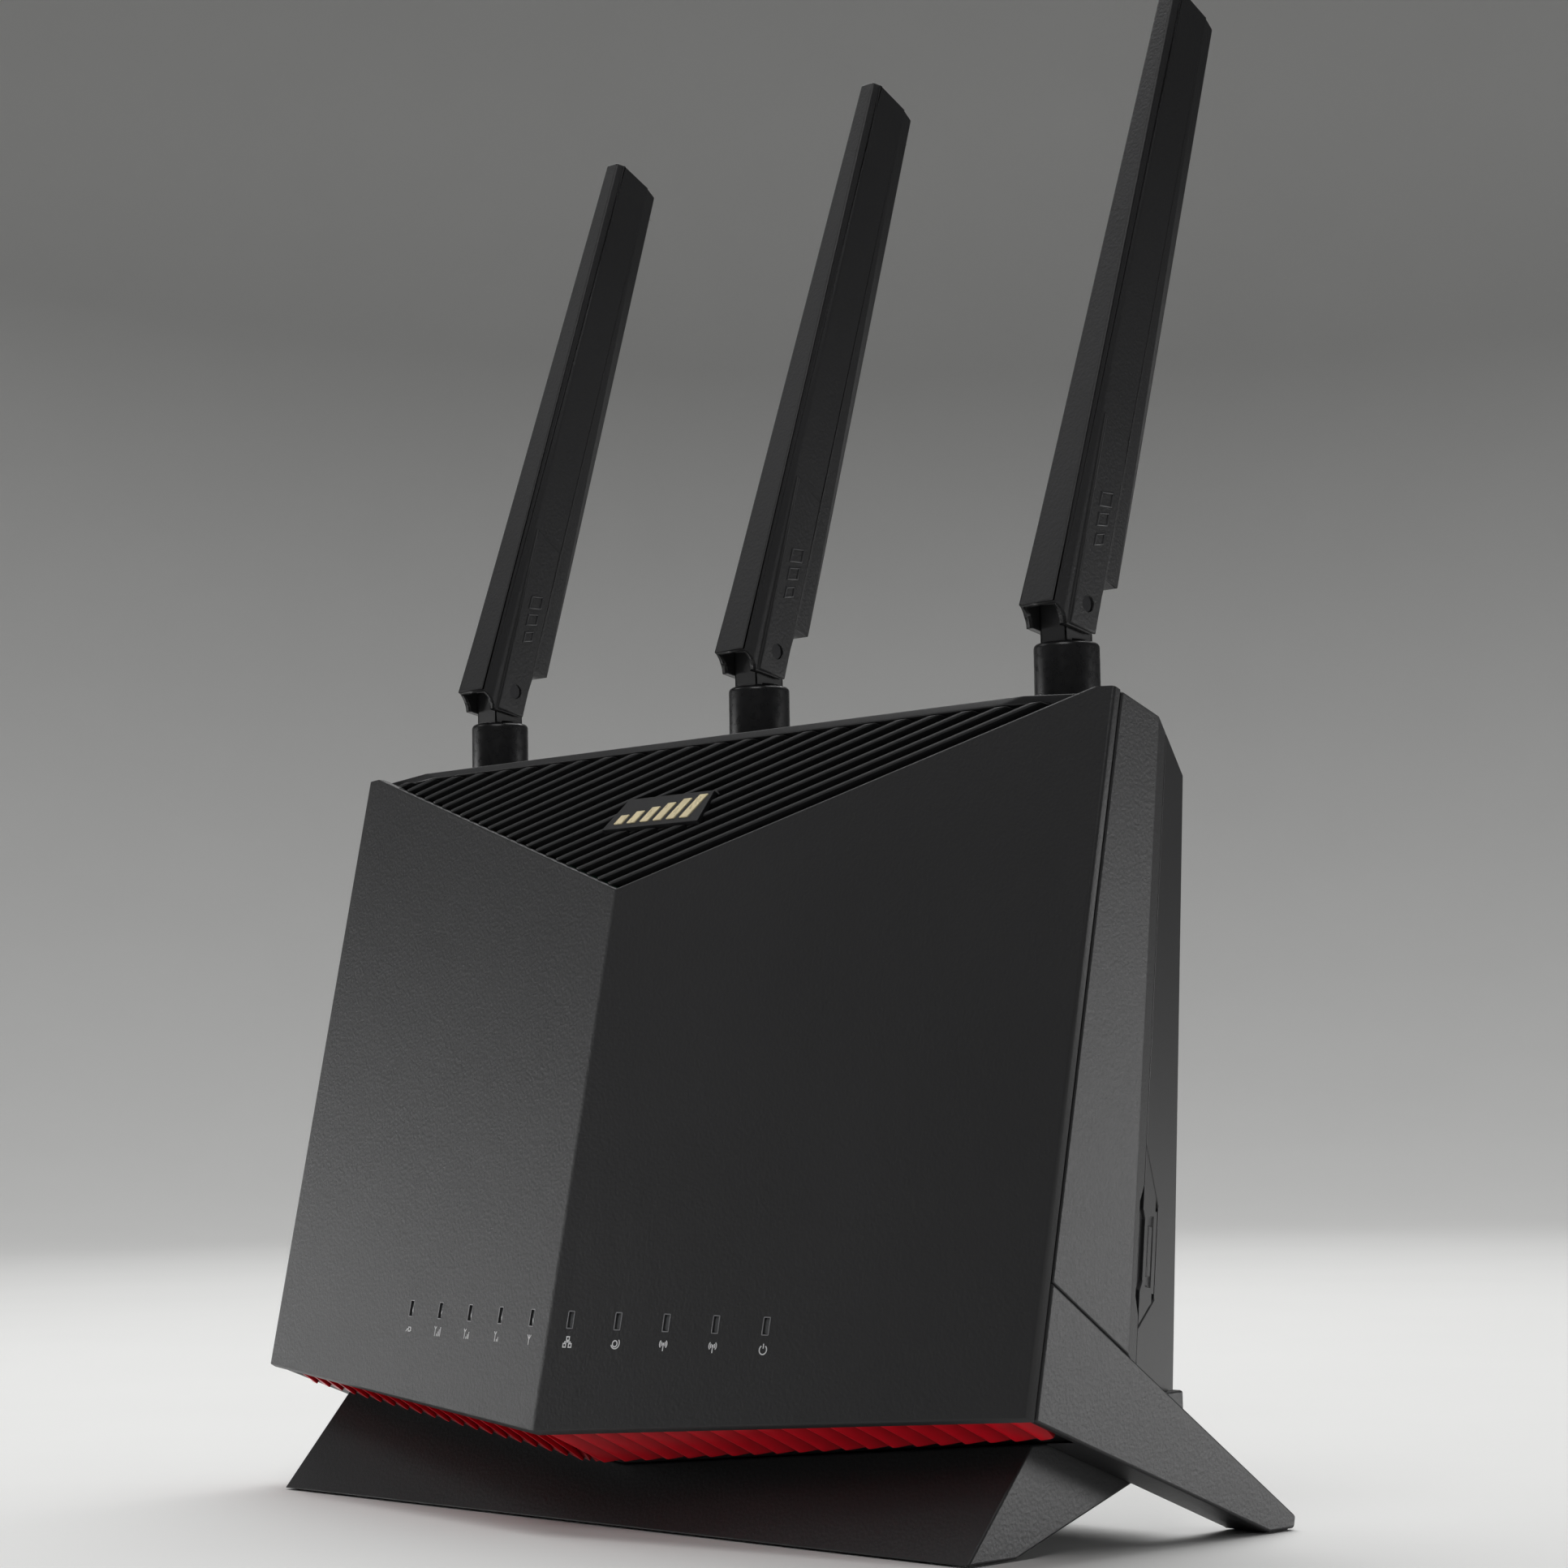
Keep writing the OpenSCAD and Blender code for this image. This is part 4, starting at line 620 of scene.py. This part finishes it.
icons = {
    "drop": 4.55, "stroke": 0.25, "proud": 0.04,
    "barFirst": -0.25, "barPitch": 0.48, "barShort": 0.5, "barStep": 0.5,
    "ballHeight": 0.3, "ball": 0.16, "waves": (0.55, 0.95), "jointBox": 0.36, "plugBox": 0.42,
}


# an icon is a list of (points, closed) lines round its own middle, in mm
def openLine(*points):
    return points, False


def boxAt(x, y, half):
    return [(x - half, y - half), (x + half, y - half), (x + half, y + half), (x - half, y + half)], True


def plugIcon():
    # a plug with two prongs and its lead
    prongs = [openLine((0.77, z), (1.2, z)) for z in (0.22, -0.22)]
    return [boxAt(0.35, 0, icons["plugBox"]), *prongs, openLine((-0.07, 0), (-0.6, 0), (-1.1, -0.5))]


def signalIcon(bars):
    # a small mast with rising bars beside it
    lines = [openLine((-1.0, -1.0), (-1.0, 0.5)), openLine((-1.45, 1.1), (-1.0, 0.5), (-0.55, 1.1))]
    for k in range(bars):
        x = icons["barFirst"] + icons["barPitch"] * k
        lines.append(openLine((x, -1.0), (x, -icons["barShort"] + icons["barStep"] * k)))
    return lines


def mastIcon():
    # a mast alone, with two arms that meet below its top
    arms = openLine((-0.7, 1.0), (0, 0.1), (0.7, 1.0))
    return [openLine((0, -1.1), (0, 0.3)), arms, openLine((0, 0.3), (0, 1.0))]


def joinedBoxesIcon():
    # one box above two, with the lines between them
    boxes = [boxAt(x, z, icons["jointBox"]) for x, z in ((0, 0.7), (-0.75, -0.7), (0.75, -0.7))]
    fork = openLine((-0.75, -0.34), (-0.75, 0.0), (0.75, 0.0), (0.75, -0.34))
    return [*boxes, openLine((0, 0.34), (0, 0.0)), fork]


def ringedBallIcon():
    # a ball with part of a ring round it
    return [(arc(0, 0, 0.62, 0, 345, 20), True), (arc(0.1, 0.1, 1.1, 200, 400, 16), False)]


def wifiIcon():
    # a mast with two arcs on each side of the ball on its top
    high = icons["ballHeight"]
    lines = [openLine((0, -1.1), (0, 0.1)), (arc(0, high, icons["ball"], 0, 330, 10), True)]
    for r in icons["waves"]:
        lines += [(arc(0, high, r, -45, 45), False), (arc(0, high, r, 135, 225), False)]
    return lines


def powerIcon():
    # an open ring with an upright bar
    return [(arc(0, -0.1, 0.9, 125, 415, 22), False), openLine((0, 0.15), (0, 1.1))]


iconShapes = [
    plugIcon(), signalIcon(4), signalIcon(3), signalIcon(2), mastIcon(),
    joinedBoxesIcon(), ringedBallIcon(), wifiIcon(), wifiIcon(), powerIcon(),
]
iconParts = []
for i, lines in enumerate(iconShapes):
    middle = (lightX(i), lights["z"] - icons["drop"])
    for line, isClosed in lines:
        iconParts.append(facetStroke(line, *middle, icons["stroke"], icons["proud"], isClosed))
iconPrint = smoothPlastic("iconPrint", (0.72, 0.72, 0.73), 0.6)
finished("printedIcons", *joined(iconParts), "ribbon_grey", "housing", look=iconPrint)
print("icons printed:", len(iconShapes))


ribs = {
    "pitch": 6.05, "turn": -6.0, "fall": 2.3,
    "fade": 0.7,  # how far the fall dies away towards the rear edge
    "crest": 0.14, "crestDrop": 0.3,  # the rounded crest, as a part of the pitch, and its drop
    "edgeClear": 1.15,  # clear of the front edge, in wall thicknesses with their seam
    "narrowest": 0.5, "across": 12,
}


def ribbedBand():
    # the band lies in the plane of the front edge (ridge to corner) and the rear edge (keel to
    # corner); a is measured along the front edge, b at right angles to it; the ribs are the lines
    # a = c + slope * b, and the depth falls over each pitch of c like tiles on a roof
    ridge = facetPoint(0.001, housing["ridgeZ"])
    ridge[0] = 0
    rear = np.array([0, -housing["bandForward"], housing["bandZ"]])
    normal = unit(np.cross(ridge - lowCorner, rear - lowCorner))
    along = unit(lowCorner - ridge)
    back = unit(np.cross(normal, along))
    back = back if np.dot(rear - ridge, back) > 0 else -back
    length = np.linalg.norm(lowCorner - ridge)
    rearA, rearB = np.dot(rear - ridge, along), np.dot(rear - ridge, back)
    turned = Matrix.Rotation(radians(ribs["turn"]), 3, "Z") @ Vector((0, 1, 0))
    slope = np.dot(turned, along) / np.dot(turned, back)
    edge = ribs["edgeClear"] * (housing["wall"] + housing["seam"])
    firstRib = int(np.floor((rearA - slope * rearB) / ribs["pitch"])) - 1
    lastRib = int(length / ribs["pitch"])
    # f is how far along its pitch a line lies, closer together near the crest and the step
    steps = np.array([0, 0.03, 0.07, 0.11, 0.2, 0.4, 0.6, 0.8, 0.93, 0.999])
    f = np.tile(steps, lastRib - firstRib)
    c = (np.repeat(np.arange(firstRib, lastRib), len(steps)) + f) * ribs["pitch"]
    fall = ribs["fall"] * f + ribs["crestDrop"] * (1 - f / ribs["crest"]).clip(0) ** 2
    # rear edge: b = rearB + rise (a - rearA); middle edge: a = rearA b / rearB
    keel = np.cross(normal, unit([housing["bandRise"], 0, -housing["halfWidth"]]))
    rise = np.dot(keel, back) / np.dot(keel, along)
    highB = (rearB + rise * (c - rearA)) / (1 - rise * slope)
    lowB = np.maximum(edge, c / (rearA / rearB - slope))
    keep = highB - lowB > ribs["narrowest"]
    c, fall, lowB, highB = c[keep], fall[keep], lowB[keep], highB[keep]
    across = np.linspace(0, 1, ribs["across"])[None, :]
    b = lowB[:, None] + (highB - lowB)[:, None] * across
    depth = housing["bandDepth"] + fall[:, None] * (1 - ribs["fade"] * across ** 3)
    flat = ridge + (c[:, None] + slope * b)[..., None] * along + b[..., None] * back
    flat[..., 0] = flat[..., 0].clip(0, housing["halfWidth"] - housing["wall"] - housing["seam"])
    inward = normal if normal[2] > 0 else -normal
    top = flat + depth[..., None] * inward
    bottom = flat + (housing["bandDepth"] + housing["bandThickness"]) * inward
    points, faces = shell(top, bottom)
    parts = [(points, faces), (points * (-1, 1, 1), faces)]
    # how deep each point lies in its groove, from 0 on the crest to 1, which the material paints as shade;
    # the hidden back of the band counts as groove
    inGroove = np.concatenate([np.repeat(f[keep], across.size), np.ones(top.shape[0] * across.size)])
    return *joined(parts), np.tile(inGroove, 2)


bandPoints, bandFaces, bandGrooveShade = ribbedBand()
finished("ribbedBand", bandPoints, bandFaces, "band_red", "housing", replaced=("underside_trim",),
         smooth=50, grooveShade=bandGrooveShade)
print("ribbed band made")


antenna = {
    "places": {"left": -92.6, "middle": 0.0, "right": 92.6}, "y": 18.2, "pinZ": 190.2, "lean": 17.5,
    "collarTop": 182.5, "collarLow": 168.7, "collarRadius": 6.9, "shoulder": 1.1, "chamfer": 0.5,
    "grooveLow": 1.6, "grooveHigh": 2.3, "grooveDeep": 0.25, "grooveSlope": 0.2,
    "boreRadius": 3.21, "neckRadius": 4.35, "footRadius": 5.1, "footDeep": 6.2, "neckDeep": 2.4,
}


def collarProfile():
    # radius and height round the ring: chamfer, groove, straight side, quarter-round shoulder, and
    # inside it the room for the knuckle's neck and foot, then the bore
    top, low, r = antenna["collarTop"], antenna["collarLow"], antenna["collarRadius"]
    cut, soft, slope = antenna["chamfer"], antenna["shoulder"], antenna["grooveSlope"]
    grooveLow, grooveHigh = low + antenna["grooveLow"], low + antenna["grooveHigh"]
    grooveRadius = r - antenna["grooveDeep"]
    outside = [(r - cut, low), (r, low + cut), (r, grooveLow), (grooveRadius, grooveLow + slope),
               (grooveRadius, grooveHigh - slope), (r, grooveHigh)]
    neck, foot, bore = antenna["neckRadius"], antenna["footRadius"], antenna["boreRadius"]
    underNeck, underFoot = top - antenna["neckDeep"], top - antenna["footDeep"]
    inside = [(neck, top), (neck, underNeck), (foot, underNeck), (foot, underFoot), (bore, underFoot),
              (bore, low)]
    return np.array([*outside, *arc(r - soft, top - soft, soft, 0, 90, 9), *inside])


def collarRing(x, turns=72):
    # the profile carried round the antenna's upright axis
    turn = np.linspace(0, 2 * np.pi, turns, endpoint=False)
    outward = np.stack([np.cos(turn), np.sin(turn), turn * 0], axis=1)
    centre = np.tile([x, antenna["y"], 0], (turns, 1))
    return sweep(centre, outward, np.tile([0, 0, 1], (turns, 1)), collarProfile(), closed=True)


for side, x in antenna["places"].items():
    collarName = "collar_" + side
    collarGloss = smoothPlastic("collarGloss_" + side, (0.012, 0.012, 0.013), 0.3)
    finished("collarRing_" + side, *collarRing(x), "satin_black", bodyOf[collarName],
             replaced=(collarName,), smooth=40, look=collarGloss)


emblem = {
    "count": 3, "stroke": 0.5, "proud": 0.2, "sunk": 0.1,
    "first": 13.0, "step": 4.4,  # along the blade from the pin
    "half": 1.7, "narrowest": 0.7, "widen": 0.15,  # half width, and each frame's part of it
    "tall": 2.4, "grow": 0.35, "slant": 1.1,
    "padWide": (6.2, 5.4), "padZ": (0.6, 41.9),  # the blade's half width at two places along it
}


def bladePoint(x, u, t):
    # blade coordinates (sideways, towards the back, along the blade) to the housing's frame
    lean = radians(antenna["lean"])
    y = antenna["y"] + u * cos(lean) + t * sin(lean)
    z = antenna["pinZ"] - u * sin(lean) + t * cos(lean)
    return np.stack([x, y, z], axis=-1)


def emblemParts(x0):
    # three rising slanted frames, raised on both faces of the pad
    parts = []
    (wideLow, wideHigh), (low, high) = emblem["padWide"], emblem["padZ"]
    fall = (wideLow - wideHigh) / (high - low)
    w, h, sunk = emblem["stroke"] / 2, emblem["proud"], emblem["sunk"]
    section = [(-w, -sunk), (-w * 0.8, h * 0.7), (-w * 0.3, h), (w * 0.3, h), (w * 0.8, h * 0.7), (w, -sunk)]
    for facing in (-1, 1):
        for k in range(emblem["count"]):
            t = emblem["first"] + emblem["step"] * k
            tall = emblem["tall"] + emblem["grow"] * k
            half = emblem["half"] * (emblem["narrowest"] + emblem["widen"] * k)
            rising = t + emblem["slant"]
            line = np.array([(-half, t), (half, rising), (half, rising + tall), (-half, t + tall)])
            side = mitred(line, True)
            x = x0 + facing * (wideLow - fall * (line[:, 1] - low))
            path = bladePoint(x, line[:, 0], line[:, 1])
            across = bladePoint(x, line[:, 0] + side[:, 0], line[:, 1] + side[:, 1]) - path
            parts.append(sweep(path, across, np.tile([facing, 0, 0], (4, 1)), section, closed=True))
    return parts


for side, x in antenna["places"].items():
    emblemBlack = smoothPlastic("emblemBlack_" + side, (0.03, 0.03, 0.032), 0.35)
    finished("bladeEmblem_" + side, *joined(emblemParts(x)), "grained_black", bodyOf["blade_" + side],
             look=emblemBlack)
print("collars and emblems made")

addCamera()
addFloor(floorPaint("floorPaint"))
addLamps()
